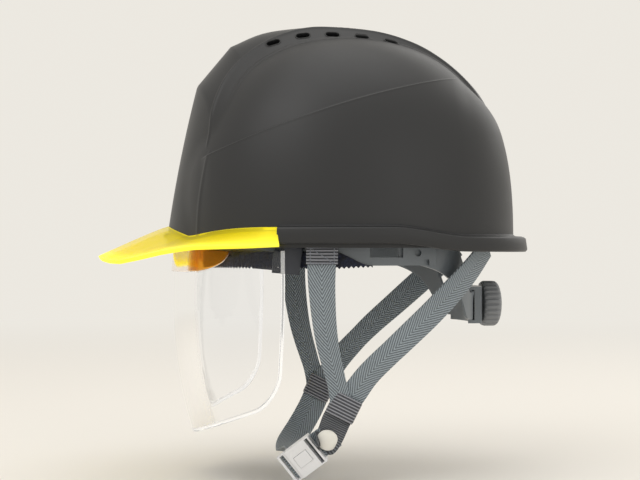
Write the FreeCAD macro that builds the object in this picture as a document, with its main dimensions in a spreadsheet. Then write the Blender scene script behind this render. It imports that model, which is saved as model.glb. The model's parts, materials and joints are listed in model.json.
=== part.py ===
"""Hard hat with a fixed peak, a shield that slides up inside the shell, a ratchet headband and a chin strap.

Frame in mm: the front of the hat is -Y, the wearer's left is +X, up is +Z.
The origin is the centre of the oval that the shell wall makes at its lower edge.
"""

import FreeCAD
import Part

import math
import os

import Sketcher

V = FreeCAD.Vector
X_AXIS = V(1, 0, 0)
Y_AXIS = V(0, 1, 0)
Z_AXIS = V(0, 0, 1)

SIZES = {
    # shell
    "shell_half_width": 103.0,
    "shell_half_length": 124.5,
    "shell_height": 153.0,
    "shell_wall": 3.0,
    "rim_flare": 5.5,
    "rim_bottom": 1.0,
    "rim_height": 11.0,
    "rim_front": -54.0,
    "vent_length": 8.5,
    "vent_height": 4.0,
    "boss_radius": 4.0,
    "boss_inner": 79.0,
    # peak
    "fit_gap": 0.3,
    "peak_half_width": 101.5,
    "peak_reach": 119.5,
    "peak_thickness": 3.0,
    "peak_camber": 240.0,
    "peak_root_back": 128.0,
    "peak_root_up": 17.0,
    "peak_slope": 24.7,
    "peak_band_bottom": 4.0,
    "peak_band_height": 12.5,
    "rivet_radius": 2.0,
    "rivet_head_radius": 3.0,
    # shock liner
    "liner_gap": 1.2,
    "liner_thickness": 15.0,
    "liner_bottom": 30.0,
    "liner_side_cut": 74.5,
    "liner_shield_gap": 1.5,
    # shield: every point turns about one axis, so its face is a patch of a torus
    "shield_axis_back": 192.0,
    "shield_axis_down": 36.0,
    "shield_major": 228.0,
    "shield_bend": 84.5,
    "shield_thickness": 1.5,
    "shield_top": 8.5,
    "shield_bottom": 17.3,
    "shield_side_front": -49.0,
    "grip_half_width": 70.0,
    "grip_bottom": 4.4,
    "grip_top": 7.4,
    # shield guides
    "rail_inner": 76.5,
    "rail_thickness": 2.5,
    "rail_radius_in": 231.5,
    "rail_radius_out": 250.0,
    "rail_low": 4.9,
    "rail_high": 31.0,
    "track_radius": 245.5,
    "track_half": 1.2,
    "pin_radius": 1.1,
    "rail_screw_radius": 1.5,
    "rail_screw_pitch": 236.0,
    # headband
    "band_half_width": 81.0,
    "band_half_length": 104.0,
    "band_centre": 6.0,
    "band_thickness": 1.6,
    "band_bottom": -10.0,
    "band_height": 36.0,
    "band_rear_bottom": 8.0,
    "band_side_end": 56.0,
    "sweat_thickness": 4.0,
    "sweat_bottom": -11.0,
    "sweat_height": 33.0,
    "sweat_end": 4.0,
    "sweat_gap": 0.2,
    "window_front": 9.0,
    "window_rear": 32.0,
    "window_low": -4.5,
    "window_high": 8.0,
    "slot_front": 47.0,
    "slot_rear": 51.0,
    "slot_low": -14.0,
    "slot_high": -6.0,
    "band_hole_radius": 2.5,
    "band_hole_back": 42.6,
    # nape adjuster
    "nape_centre": 21.2,
    "nape_radius": 76.8,
    "nape_thickness": 1.6,
    "adjuster_up": -39.0,
    "housing_half_width": 30.0,
    "housing_half_height": 13.0,
    "housing_radius": 81.2,
    "channel_half_height": 10.6,
    "cover_thickness": 2.4,
    "knob_radius": 16.5,
    "knob_start": 103.2,
    "knob_length": 11.0,
    "knob_dome": 4.5,
    "knob_grip_radius": 1.4,
    "shaft_radius": 3.0,
    "shaft_gap": 0.05,
    "pinion_radius": 6.0,
    "pinion_thickness": 1.6,
    # crown straps
    "crown_half_length": 94.0,
    "crown_half_width": 74.0,
    "crown_height": 122.0,
    "cross_drop": 2.8,
    "crown_thickness": 1.2,
    "crown_width": 18.0,
    "crown_end": 24.0,
    "pad_radius": 32.0,
    "pad_thickness": 5.0,
    # webbing
    "web_width": 20.0,
    "web_thickness": 1.5,
    "keeper_height": 17.5,
    "keeper_half_width": 14.4,
    "keeper_half_depth": 6.2,
    "keeper_wall": 1.1,
    "snap_radius": 7.5,
    "snap_height": 2.5,
    "snap_post": 1.5,
    # buckle, about its own centre
    "buckle_half_width": 11.0,
    "buckle_half_depth": 4.0,
    "buckle_front": 7.5,
    "buckle_rear": -12.6,
    "buckle_slot_front": -8.6,
    "buckle_slot_rear": -11.2,
    "buckle_slot_half": 10.2,
    "pocket_half_width": 9.0,
    "pocket_half_depth": 2.4,
    "tab_half_length": 4.8,
    "tab_half_width": 4.3,
    "tab_low": 2.6,
    "tab_high": 4.2,
    "window_margin": 0.2,
    "tongue_half_width": 8.0,
    "loop_rear": 7.8,
    "loop_front": 14.5,
    "loop_slot_rear": 9.8,
    "loop_slot_front": 12.8,
}

SHIELD_TRAVEL = 21.0
RAIL_SLOT_END = 0.7
FAR = 150

doc = FreeCAD.newDocument("hard_hat")
sheet = doc.addObject("Spreadsheet::Sheet", "sizes")
for row, (name, value) in enumerate(SIZES.items(), start=1):
    sheet.set(f"A{row}", str(value))
    sheet.setAlias(f"A{row}", name)
doc.recompute()


def size(name):
    """The sheet's value for one size."""
    return float(getattr(sheet, name))


def bind(feature, **expressions):
    """Ties properties of a feature to the sheet."""
    for prop, expression in expressions.items():
        feature.setExpression(prop, expression)
    return feature


def frame(x_direction, z_direction, base):
    """A placement whose local x and z look along the given directions."""
    turn = FreeCAD.Rotation(x_direction, V(0, 0, 0), z_direction, "ZXY")
    return FreeCAD.Placement(base, turn)


def part_boolean(kind, name, shapes):
    feature = doc.addObject(kind, name)
    feature.Shapes = shapes
    return feature


def fuse(name, shapes):
    return part_boolean("Part::MultiFuse", name, shapes)


def common(name, shapes):
    return part_boolean("Part::MultiCommon", name, shapes)


def cut(name, base, tools):
    feature = doc.addObject("Part::Cut", name)
    feature.Base = base
    feature.Tool = tools[0] if len(tools) == 1 else fuse(name + "_tools", tools)
    return feature


def box(name, low, high):
    """A box from its low corner to its high corner, in the frame's axes."""
    feature = doc.addObject("Part::Box", name)
    feature.Length = high[0] - low[0]
    feature.Width = high[1] - low[1]
    feature.Height = high[2] - low[2]
    feature.Placement.Base = V(*low)
    return feature


def rod(name, radius, length, base, direction):
    """A cylinder with an expression for its radius, from base along direction."""
    feature = doc.addObject("Part::Cylinder", name)
    bind(feature, Radius=radius)
    feature.Height = length
    feature.Placement = FreeCAD.Placement(V(*base), FreeCAD.Rotation(Z_AXIS, direction))
    return feature


def oval_prism(name, half_width, half_length, centre, bottom, height):
    """An upright oval prism, longer in Y than in X; every argument after the name is an expression."""
    oval = doc.addObject("Part::Ellipse", name + "_oval")
    bind(oval, MajorRadius=half_length, MinorRadius=half_width)
    oval.Placement = FreeCAD.Placement(V(0, 0, 0), FreeCAD.Rotation(Z_AXIS, 90))
    oval.setExpression(".Placement.Base.y", centre)
    oval.setExpression(".Placement.Base.z", bottom)
    prism = doc.addObject("Part::Extrusion", name)
    prism.Base = oval
    prism.DirMode = "Custom"
    prism.Dir = Z_AXIS
    prism.Solid = True
    bind(prism, LengthFwd=height)
    return prism


def oval_ring(name, half_width, half_length, wall, centre, bottom, height):
    """The prism above with a smaller one taken out of it."""
    outer = oval_prism(name + "_outer", half_width, half_length, centre, bottom, height)
    inner = oval_prism(
        name + "_inner", f"({half_width})-({wall})", f"({half_length})-({wall})", centre, bottom, height
    )
    return cut(name, outer, [inner])


DOME_POWER = 2.4
DOME_LAYERS = 8
DOME_LAST = math.radians(80)


def dome(name, half_width, half_length, height):
    """A solid dome: ovals that follow a superellipse upward, ending in a small flat under the ridge."""
    ovals = []
    for layer in range(DOME_LAYERS):
        turn = DOME_LAST * layer / (DOME_LAYERS - 1)
        spread = math.cos(turn) ** (2 / DOME_POWER)
        rise = math.sin(turn) ** (2 / DOME_POWER)
        oval = doc.addObject("Part::Ellipse", f"{name}_oval_{layer}")
        bind(oval, MajorRadius=f"({half_length})*{spread}", MinorRadius=f"({half_width})*{spread}")
        oval.Placement = FreeCAD.Placement(V(0, 0, 0), FreeCAD.Rotation(Z_AXIS, 90))
        oval.setExpression(".Placement.Base.z", f"({height})*{rise}")
        ovals.append(oval)
    solid = doc.addObject("Part::Loft", name)
    solid.Sections = ovals
    solid.Solid = True
    solid.Ruled = False
    return solid


def attach(sketch, body, role, offset=None):
    """Lays a sketch on one of its own body's origin planes."""
    plane = [item for item in body.Origin.OriginFeatures if item.Role == role][0]
    sketch.AttachmentSupport = [(plane, "")]
    sketch.MapMode = "FlatFace"
    if offset is not None:
        sketch.AttachmentOffset = offset


def polygon_sketch(body, name, role, points, offset=None):
    """A closed outline of straight lines, each corner held by two distances from the sketch's origin."""
    sketch = body.newObject("Sketcher::SketchObject", name)
    attach(sketch, body, role, offset)
    count = len(points)
    for index in range(count):
        start = points[index]
        end = points[(index + 1) % count]
        sketch.addGeometry(Part.LineSegment(V(start[0], start[1], 0), V(end[0], end[1], 0)))
    for index in range(count):
        sketch.addConstraint(Sketcher.Constraint("Coincident", index, 2, (index + 1) % count, 1))
        sketch.addConstraint(Sketcher.Constraint("DistanceX", -1, 1, index, 1, points[index][0]))
        sketch.addConstraint(Sketcher.Constraint("DistanceY", -1, 1, index, 1, points[index][1]))
    return sketch


def finish(feature, label):
    """Names a finished sub-part."""
    feature.Label = label
    subparts.append(feature)
    return feature


subparts = []


# ---------------------------------------------------------------- shell

# Ridge stations: angle up from the front, reach of the middle, half-width and reach of the top edge,
# half-width and reach of the foot inside the dome.
RIDGE = [
    (36.0, 140.5, 46.0, 125.0, 48.0, 112.0),
    (42.4, 149.0, 43.0, 133.6, 46.0, 120.0),
    (48.0, 157.5, 39.0, 141.5, 48.0, 127.0),
    (60.6, 166.8, 29.0, 155.0, 42.0, 140.0),
    (72.0, 165.0, 24.0, 160.5, 43.0, 141.0),
    (86.0, 159.6, 22.0, 158.5, 43.0, 138.5),
    (106.0, 158.4, 22.0, 156.8, 43.0, 136.5),
    (117.0, 156.0, 22.0, 153.6, 42.0, 134.0),
    (125.0, 152.6, 21.0, 149.6, 39.0, 133.0),
    (134.0, 147.0, 18.0, 144.6, 31.0, 131.0),
    (142.0, 140.4, 14.0, 138.6, 20.0, 127.0),
]


def ridge(name, inset):
    """The raised centre ridge as a loft through five-sided sections, drawn in by inset."""
    body = doc.addObject("PartDesign::Body", name)
    sections = []
    for index, (angle, middle, edge, edge_reach, foot, foot_reach) in enumerate(RIDGE):
        turn = FreeCAD.Rotation(X_AXIS, 180 - angle)
        points = [
            (foot - 1.2 * inset, foot_reach - inset),
            (edge - 0.8 * inset, edge_reach - inset),
            (0.0, middle - inset),
            (-edge + 0.8 * inset, edge_reach - inset),
            (-foot + 1.2 * inset, foot_reach - inset),
        ]
        offset = FreeCAD.Placement(V(0, 0, 0), turn)
        sections.append(polygon_sketch(body, f"{name}_section_{index}", "XY_Plane", points, offset))
    doc.recompute()
    loft = body.newObject("PartDesign::AdditiveLoft", name + "_loft")
    loft.Profile = sections[0]
    loft.Sections = sections[1:]
    loft.Ruled = True
    return body


VENT_ANGLES = (71.0, 78.7, 86.3, 94.1, 101.6)
VENT_REACH = 152.8


def vent(index, angle):
    """One slot right through both walls of the ridge."""
    body = doc.addObject("PartDesign::Body", f"vent_{index}")
    sketch = body.newObject("Sketcher::SketchObject", f"vent_{index}_outline")
    attach(sketch, body, "YZ_Plane")
    half = size("vent_height") / 2
    run = size("vent_length") / 2 - half
    sketch.addGeometry(Part.LineSegment(V(-run, half, 0), V(run, half, 0)))
    sketch.addGeometry(Part.LineSegment(V(-run, -half, 0), V(run, -half, 0)))
    right = Part.Circle(V(run, 0, 0), Z_AXIS, half)
    left = Part.Circle(V(-run, 0, 0), Z_AXIS, half)
    sketch.addGeometry(Part.ArcOfCircle(right, -math.pi / 2, math.pi / 2))
    sketch.addGeometry(Part.ArcOfCircle(left, math.pi / 2, 3 * math.pi / 2))
    doc.recompute()
    pad = body.newObject("PartDesign::Pad", f"vent_{index}_pad")
    pad.Profile = sketch
    pad.SideType = "Symmetric"
    pad.Length = 78
    turn = math.radians(angle)
    reach = VENT_REACH
    base = V(0, -reach * math.cos(turn), reach * math.sin(turn))
    body.Placement = FreeCAD.Placement(base, FreeCAD.Rotation(X_AXIS, 90 - angle))
    return body


# Where each guide rail is screwed on: degrees above the shield axis, and how far out the boss reaches.
BOSS_ANGLES = ((14.0, 96.5), (28.6, 90.5))


def on_track(radius, degrees, x=0.0):
    """A point at a radius and an angle up about the shield's axis."""
    turn = math.radians(degrees)
    back = size("shield_axis_back") - radius * math.cos(turn)
    up = -size("shield_axis_down") + radius * math.sin(turn)
    return V(x, back, up)


def make_shell():
    outer = dome("shell_outer", "sizes.shell_half_width", "sizes.shell_half_length", "sizes.shell_height")
    inner = dome(
        "shell_inner",
        "sizes.shell_half_width-sizes.shell_wall",
        "sizes.shell_half_length-sizes.shell_wall",
        "sizes.shell_height-sizes.shell_wall",
    )
    rim = oval_ring(
        "rim_ring",
        "sizes.shell_half_width+sizes.rim_flare",
        "sizes.shell_half_length+sizes.rim_flare+0.5",
        "sizes.rim_flare+1.5",
        "0",
        "sizes.rim_bottom",
        "sizes.rim_height",
    )
    rim = cut("rim_band", rim, [box("rim_front_box", (-150, -200, -20), (150, size("rim_front"), 40))])
    bosses = []
    for side in (1, -1):
        for index, (angle, reach) in enumerate(BOSS_ANGLES):
            base = on_track(size("rail_screw_pitch"), angle, side * size("boss_inner"))
            name = f"boss_{index}_{'left' if side > 0 else 'right'}"
            length = reach - size("boss_inner")
            bosses.append(rod(name, "sizes.boss_radius", length, base, X_AXIS * side))
    skin = fuse("shell_skin", [outer, ridge("ridge_outer", 0.0), rim])
    hollow = fuse("shell_hollow", [inner, ridge("ridge_inner", size("shell_wall"))])
    vents = [vent(index, angle) for index, angle in enumerate(VENT_ANGLES)]
    bare = cut("shell_bare", skin, [hollow] + vents)
    solid = fuse("shell_with_bosses", [bare] + bosses)
    recess_back = RIVET_HEAD_BACK + 7
    holes = screw_rods("boss_hole", "sizes.rail_screw_radius") + rivet_shanks("shell_rivet_hole")
    holes += rivet_heads("shell_rivet_recess", recess_back, recess_back - RIVET_HEAD_BACK + RIVET_HEAD)
    return finish(cut("shell", solid, holes), "shell")


# ---------------------------------------------------------------- peak and its rivets

RIVET_SIDE = 20.0
RIVET_UP = 10.0
RIVET_HEAD_BACK = -119.0
RIVET_HEAD = 1.2
RIVET_LENGTH = 7.8


def rivet_shanks(name):
    shanks = []
    for side in (1, -1):
        shank = doc.addObject("Part::Cylinder", f"{name}_{'left' if side > 0 else 'right'}")
        bind(shank, Radius="sizes.rivet_radius")
        shank.Height = RIVET_LENGTH
        turn = FreeCAD.Rotation(Z_AXIS, -Y_AXIS)
        shank.Placement = FreeCAD.Placement(V(side * RIVET_SIDE, RIVET_HEAD_BACK, RIVET_UP), turn)
        shanks.append(shank)
    return shanks


def rivet_heads(name, back, length):
    """Discs on the rivets' axes: the heads, and the recesses that sink them into the wall."""
    heads = []
    for word, side in (("left", 1), ("right", -1)):
        base = (side * RIVET_SIDE, back, RIVET_UP)
        heads.append(rod(f"{name}_{word}", "sizes.rivet_head_radius", length, base, -Y_AXIS))
    return heads


def make_peak():
    band = oval_ring(
        "peak_ring",
        "sizes.shell_half_width+sizes.rim_flare",
        "sizes.shell_half_length+sizes.rim_flare+0.5",
        "sizes.rim_flare-sizes.fit_gap",
        "0",
        "sizes.peak_band_bottom",
        "sizes.peak_band_height",
    )
    slope = math.radians(size("peak_slope"))
    forward = V(0, -math.cos(slope), -math.sin(slope))
    normal = V(0, -math.sin(slope), math.cos(slope))
    root = V(0, -size("peak_root_back"), size("peak_root_up"))
    start = root - forward * 90 - normal * size("peak_camber")
    outer = rod("peak_camber_outer", "sizes.peak_camber", 160, start, forward)
    inner = rod("peak_camber_inner", "sizes.peak_camber-sizes.peak_thickness", 160, start, forward)
    sheet_solid = cut("peak_sheet", outer, [inner])
    half, length = "sizes.peak_half_width", "sizes.peak_reach"
    reach = oval_prism("peak_plan", half, length, "sizes.rim_front", "-60", "77")
    gap = "sizes.fit_gap"
    clear = oval_prism(
        "peak_clear",
        f"sizes.shell_half_width+{gap}",
        f"sizes.shell_half_length+{gap}",
        "0",
        "-70",
        "140",
    )
    sheet_part = common("peak_sheet_trimmed", [sheet_solid, reach])
    whole = fuse("peak_whole", [sheet_part, band])
    rear = box("peak_rear_box", (-150, size("rim_front") - size("fit_gap"), -80), (150, 200, 80))
    holes = rivet_shanks("peak_rivet_hole")
    return finish(cut("visor", whole, [clear, rear] + holes), "visor")


def make_rivets():
    rivets = []
    heads = rivet_heads("rivet_head", RIVET_HEAD_BACK, RIVET_HEAD)
    for word, head, shank in zip(("left", "right"), heads, rivet_shanks("rivet_shank")):
        rivets.append(fuse(f"rivet_{word}", [head, shank]))
    group = doc.addObject("Part::Compound", "visor_rivets")
    group.Links = rivets
    return finish(group, "visor_rivets")


# ---------------------------------------------------------------- shield and its guides


def torus_tube(name, minor):
    """The round tube whose skin the shield follows, about the shield's axis."""
    tube = doc.addObject("Part::Torus", name)
    bind(tube, Radius1="sizes.shield_major", Radius2=minor)
    base = V(0, size("shield_axis_back"), -size("shield_axis_down"))
    tube.Placement = FreeCAD.Placement(base, FreeCAD.Rotation(Z_AXIS, X_AXIS))
    return tube


def track_wedge(name, low, high, reach, near, far):
    """A wedge about the shield's axis from angle low to angle high, between two X values."""
    wedge = doc.addObject("Part::Cylinder", name)
    wedge.Radius = reach
    wedge.Height = far - near
    wedge.Angle = high - low
    turn = math.radians(high)
    start = V(0, -math.cos(turn), math.sin(turn))
    base = V(near, size("shield_axis_back"), -size("shield_axis_down"))
    wedge.Placement = frame(start, X_AXIS, base)
    return wedge


def make_lens():
    outer = torus_tube("lens_outer", "sizes.shield_bend")
    inner = torus_tube("lens_inner", "sizes.shield_bend-sizes.shield_thickness")
    skin = cut("lens_skin", outer, [inner])
    wedge = track_wedge("lens_wedge", -size("shield_bottom"), size("shield_top"), 340, -100, 100)
    front = box("lens_front", (-100, -150, -150), (100, size("shield_side_front"), 30))
    return finish(common("shield_lens", [skin, wedge, front]), "shield_lens")


def make_grip():
    outer = torus_tube("grip_outer", "sizes.shield_bend+sizes.shield_thickness")
    inner = torus_tube("grip_inner", "sizes.shield_bend")
    skin = cut("grip_skin", outer, [inner])
    half = size("grip_half_width")
    wedge = track_wedge("grip_wedge", size("grip_bottom"), size("grip_top"), 340, -half, half)
    front = box("grip_front", (-100, -150, -60), (100, -60, 30))
    return finish(common("shield_grip", [skin, wedge, front]), "shield_grip")


SLIDER_ANGLES = (5.9, 8.4)
PIN_ANGLES = (6.5, 7.8)
PIN_LENGTH = 5.2
SLIDER_GAP = 0.2


def make_slider(side, word):
    rail_face = size("rail_inner") + size("rail_thickness")
    low, high = sorted((side * (rail_face + SLIDER_GAP), side * (rail_face + 6)))
    wedge = track_wedge(f"slider_wedge_{word}", SLIDER_ANGLES[0], SLIDER_ANGLES[1], 250.5, low, high)
    tube = torus_tube(f"slider_tube_{word}", "sizes.shield_bend-sizes.shield_thickness")
    front = box(f"slider_front_{word}", (-100, -150, -60), (100, size("shield_side_front"), 30))
    return finish(common(f"shield_slider_{word}", [wedge, tube, front]), f"shield_slider_{word}")


def make_pins():
    pins = []
    for side in (1, -1):
        for index, angle in enumerate(PIN_ANGLES):
            base = on_track(size("track_radius"), angle, side * (size("rail_inner") - 1))
            name = f"pin_{index}_{'left' if side > 0 else 'right'}"
            pins.append(rod(name, "sizes.pin_radius", PIN_LENGTH, base, X_AXIS * side))
    group = doc.addObject("Part::Compound", "slider_pins")
    group.Links = pins
    return finish(group, "slider_pins")


def make_rail(side, word):
    low, high = sorted((side * size("rail_inner"), side * (size("rail_inner") + size("rail_thickness"))))
    start, end = size("rail_low"), size("rail_high")
    plate = track_wedge(f"rail_plate_{word}", start, end, size("rail_radius_out"), low, high)
    hollow = track_wedge(f"rail_hollow_{word}", start - 2, end + 2, size("rail_radius_in"), low - 1, high + 1)
    track = size("track_radius")
    half = size("track_half")
    slot_low = PIN_ANGLES[0] - RAIL_SLOT_END
    slot_high = PIN_ANGLES[1] + SHIELD_TRAVEL + RAIL_SLOT_END
    slot_out = track_wedge(f"rail_slot_out_{word}", slot_low, slot_high, track + half, low - 1, high + 1)
    past = 3
    inner = track - half
    slot_in = track_wedge(f"rail_slot_in_{word}", slot_low - past, slot_high + past, inner, low - 2, high + 2)
    slot = cut(f"rail_slot_{word}", slot_out, [slot_in])
    holes = []
    for index, (angle, _) in enumerate(BOSS_ANGLES):
        base = on_track(size("rail_screw_pitch"), angle, side * 60)
        holes.append(rod(f"rail_hole_{index}_{word}", "sizes.rail_screw_radius", 40, base, X_AXIS * side))
    return finish(cut(f"shield_rail_{word}", plate, [hollow, slot] + holes), f"shield_rail_{word}")


def screw_rods(name, radius):
    rods = []
    for side in (1, -1):
        for index, (angle, _) in enumerate(BOSS_ANGLES):
            base = on_track(size("rail_screw_pitch"), angle, side * size("rail_inner"))
            label = f"{name}_{index}_{'left' if side > 0 else 'right'}"
            rods.append(rod(label, radius, 10.0, base, X_AXIS * side))
    return rods


def make_rail_screws():
    screws = []
    shanks = screw_rods("screw_shank", "sizes.rail_screw_radius")
    order = [(side, item) for side in (1, -1) for item in BOSS_ANGLES]
    for index, ((side, (angle, _)), shank) in enumerate(zip(order, shanks)):
        base = on_track(size("rail_screw_pitch"), angle, side * (size("rail_inner") - 1.2))
        head = rod(f"screw_head_{index}", "2*sizes.rail_screw_radius-0.2", 1.2, base, X_AXIS * side)
        screws.append(fuse(f"rail_screw_{index}", [head, shank]))
    group = doc.addObject("Part::Compound", "rail_screws")
    group.Links = screws
    return finish(group, "rail_screws")


# ---------------------------------------------------------------- shock liner


def make_liner():
    gap = "sizes.shell_wall-sizes.liner_gap"
    outer = dome(
        "liner_outer",
        f"sizes.shell_half_width-{gap}",
        f"sizes.shell_half_length-{gap}",
        f"sizes.shell_height-{gap}",
    )
    inset = "sizes.shell_wall-sizes.liner_gap-sizes.liner_thickness"
    inner = dome(
        "liner_inner",
        f"sizes.shell_half_width-{inset}",
        f"sizes.shell_half_length-{inset}",
        f"sizes.shell_height-{inset}",
    )
    low = box("liner_low_box", (-150, -150, -5), (150, 150, size("liner_bottom")))
    side = size("liner_side_cut")
    left = box("liner_left_box", (side, -150, -10), (150, 4, 200))
    right = box("liner_right_box", (-150, -150, -10), (-side, 4, 200))
    ahead = box("liner_ahead_box", (-150, -150, -10), (150, 0, 200))
    tube = torus_tube("liner_tube", "sizes.shield_bend-sizes.shield_thickness-sizes.liner_shield_gap")
    in_path = cut("liner_shield_path", ahead, [tube])
    return finish(cut("shock_liner", outer, [inner, low, left, right, in_path]), "shock_liner")


# ---------------------------------------------------------------- headband and sweatband


BAND_HOLES_UP = (-1.4, 8.5)


def make_headband():
    ring = oval_ring(
        "band_ring",
        "sizes.band_half_width",
        "sizes.band_half_length",
        "sizes.band_thickness",
        "sizes.band_centre",
        "sizes.band_bottom",
        "sizes.band_height",
    )
    rear = box("band_rear_box", (-120, size("band_side_end"), -40), (120, 150, size("band_rear_bottom")))
    window = box(
        "band_window",
        (-FAR, size("window_front"), size("window_low")),
        (FAR, size("window_rear"), size("window_high")),
    )
    slot = box(
        "band_slot",
        (-FAR, size("slot_front"), size("slot_low")),
        (FAR, size("slot_rear"), size("slot_high")),
    )
    openings = [rear, window, slot]
    for index, up in enumerate(BAND_HOLES_UP):
        base = (-FAR, size("band_hole_back"), up)
        openings.append(rod(f"band_hole_{index}", "sizes.band_hole_radius", 2 * FAR, base, X_AXIS))
    return finish(cut("headband", ring, openings), "headband")


def make_sweatband():
    ring = oval_ring(
        "sweat_ring",
        "sizes.band_half_width-sizes.band_thickness-sizes.sweat_gap",
        "sizes.band_half_length-sizes.band_thickness-sizes.sweat_gap",
        "sizes.sweat_thickness",
        "sizes.band_centre",
        "sizes.sweat_bottom",
        "sizes.sweat_height",
    )
    rear = box("sweat_rear_box", (-120, size("sweat_end"), -40), (120, 150, 60))
    return finish(cut("sweatband", ring, [rear]), "sweatband")


# ---------------------------------------------------------------- nape adjuster


def nape_ring(name, outer, inner, bottom, top):
    """A round upright ring about the nape's own centre; outer and inner are expressions."""
    def drum(word, radius):
        solid = rod(f"{name}_{word}", radius, top - bottom, (0, 0, bottom), Z_AXIS)
        solid.setExpression(".Placement.Base.y", "sizes.nape_centre")
        return solid

    return cut(name, drum("out", outer), [drum("in", inner)])


NAPE_ROOT = 34.0
TAIL_PAST = 12.0
TAIL_NEAR = 6.6
TAIL_FAR = 9.8


def make_nape_strap(side, word):
    """The band from the headband's side to the adjuster, with a rack tail that crosses the middle."""
    middle = size("adjuster_up")
    inner = "sizes.nape_radius-sizes.nape_thickness"
    ring = nape_ring(f"nape_ring_{word}", "sizes.nape_radius", inner, -60, 20)
    outline = [
        (33, -7),
        (52, -12),
        (72, -28),
        (84, middle - TAIL_FAR),
        (101, middle - TAIL_FAR),
        (101, middle + TAIL_FAR),
        (82, middle + TAIL_FAR),
        (73, -17),
        (57, -1),
        (33, 5),
    ]
    body = doc.addObject("PartDesign::Body", f"nape_side_{word}")
    sketch = polygon_sketch(body, f"nape_side_{word}_outline", "YZ_Plane", outline)
    doc.recompute()
    pad = body.newObject("PartDesign::Pad", f"nape_side_{word}_pad")
    pad.Profile = sketch
    pad.Length = 60
    root = NAPE_ROOT if side > 0 else -NAPE_ROOT - 60
    body.Placement.Base = V(root, 0, 0)
    near = middle + side * TAIL_NEAR
    far = middle + side * TAIL_FAR
    low, high = min(near, far), max(near, far)
    left, right = sorted((-side * TAIL_PAST, side * (NAPE_ROOT + 0.5)))
    tail = box(f"nape_tail_{word}", (left, 60, low), (right, 120, high))
    shape = fuse(f"nape_shape_{word}", [body, tail])
    return finish(common(f"nape_strap_{word}", [ring, shape]), f"nape_strap_{word}")


def make_housing():
    middle = size("adjuster_up")
    half_width = size("housing_half_width")
    half = size("housing_half_height")
    channel = size("channel_half_height")
    block = nape_ring(
        "housing_ring",
        "sizes.housing_radius",
        "sizes.nape_radius-sizes.nape_thickness-0.1",
        middle - half,
        middle + half,
    )
    groove = nape_ring(
        "housing_groove",
        "sizes.nape_radius+0.2",
        "sizes.nape_radius-sizes.nape_thickness-1",
        middle - channel,
        middle + channel,
    )
    window = box("housing_window", (-half_width, 60, -80), (half_width, 130, 0))
    hole = rod("housing_hole", "sizes.shaft_radius+sizes.shaft_gap", 30, (0, 90, middle), Y_AXIS)
    trimmed = common("housing_trimmed", [block, window])
    return finish(cut("ratchet_housing", trimmed, [groove, hole]), "ratchet_housing")


def make_cover():
    middle = size("adjuster_up")
    half_width = size("housing_half_width")
    half = size("housing_half_height")
    ring = nape_ring(
        "cover_ring",
        "sizes.nape_radius-sizes.nape_thickness-0.1",
        "sizes.nape_radius-sizes.nape_thickness-0.1-sizes.cover_thickness",
        middle - half,
        middle + half,
    )
    window = box("cover_window", (-half_width, 60, -80), (half_width, 130, 0))
    hole = rod("cover_hole", "3.5", 30, (0, 80, middle), Y_AXIS)
    trimmed = common("cover_trimmed", [ring, window])
    return finish(cut("ratchet_cover", trimmed, [hole]), "ratchet_cover")


KNOB_GROOVES = 24
SCREW_RADIUS = 1.2
PINION_TEETH = 10
SHAFT_START = 97.9


def make_knob():
    middle = size("adjuster_up")
    start = size("knob_start")
    length = size("knob_length")
    drum = rod("knob_drum", "sizes.knob_radius", length, (0, start, middle), Y_AXIS)
    dome_radius = size("knob_radius") ** 2 / (2 * size("knob_dome")) + size("knob_dome") / 2
    ball = doc.addObject("Part::Sphere", "knob_ball")
    ball.Radius = dome_radius
    ball.Placement.Base = V(0, start + length + size("knob_dome") - dome_radius, middle)
    over = rod("knob_over", "sizes.knob_radius", length + 6, (0, start, middle), Y_AXIS)
    capped = common("knob_capped", [ball, over])
    shaft = rod("knob_shaft", "sizes.shaft_radius", start - SHAFT_START + 1, (0, SHAFT_START, middle), Y_AXIS)
    grooves = []
    for index in range(KNOB_GROOVES):
        turn = 2 * math.pi * index / KNOB_GROOVES
        reach = size("knob_radius") + 0.5 * size("knob_grip_radius")
        base = (reach * math.cos(turn), start + 1.5, middle + reach * math.sin(turn))
        grooves.append(rod(f"knob_groove_{index}", "sizes.knob_grip_radius", length + 6, base, Y_AXIS))
    screw_hole = rod("knob_screw_hole", str(SCREW_RADIUS), 6, (0, SHAFT_START - 1, middle), Y_AXIS)
    whole = fuse("knob_whole", [drum, capped, shaft])
    return finish(cut("ratchet_knob", whole, grooves + [screw_hole]), "ratchet_knob")


def make_pinion():
    middle = size("adjuster_up")
    thickness = size("pinion_thickness")
    start = SHAFT_START - thickness
    disc = rod("pinion_disc", "sizes.pinion_radius", thickness, (0, start, middle), Y_AXIS)
    gaps = []
    for index in range(PINION_TEETH):
        turn = 2 * math.pi * (index + 0.5) / PINION_TEETH
        reach = size("pinion_radius") + 0.2
        base = (reach * math.cos(turn), start - 1, middle + reach * math.sin(turn))
        gaps.append(rod(f"pinion_gap_{index}", "1.2", thickness + 2, base, Y_AXIS))
    bore = rod("pinion_bore", str(SCREW_RADIUS), 6, (0, start - 1, middle), Y_AXIS)
    return finish(cut("ratchet_pinion", disc, gaps + [bore]), "ratchet_pinion")


def make_knob_screw():
    middle = size("adjuster_up")
    start = SHAFT_START - size("pinion_thickness")
    head = rod("knob_screw_head", "2.6", 1.6, (0, start - 1.6, middle), Y_AXIS)
    shank = rod("knob_screw_shank", str(SCREW_RADIUS), 6, (0, start, middle), Y_AXIS)
    return finish(fuse("knob_screw", [head, shank]), "knob_screw")


# ---------------------------------------------------------------- crown straps, pad and keys


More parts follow.
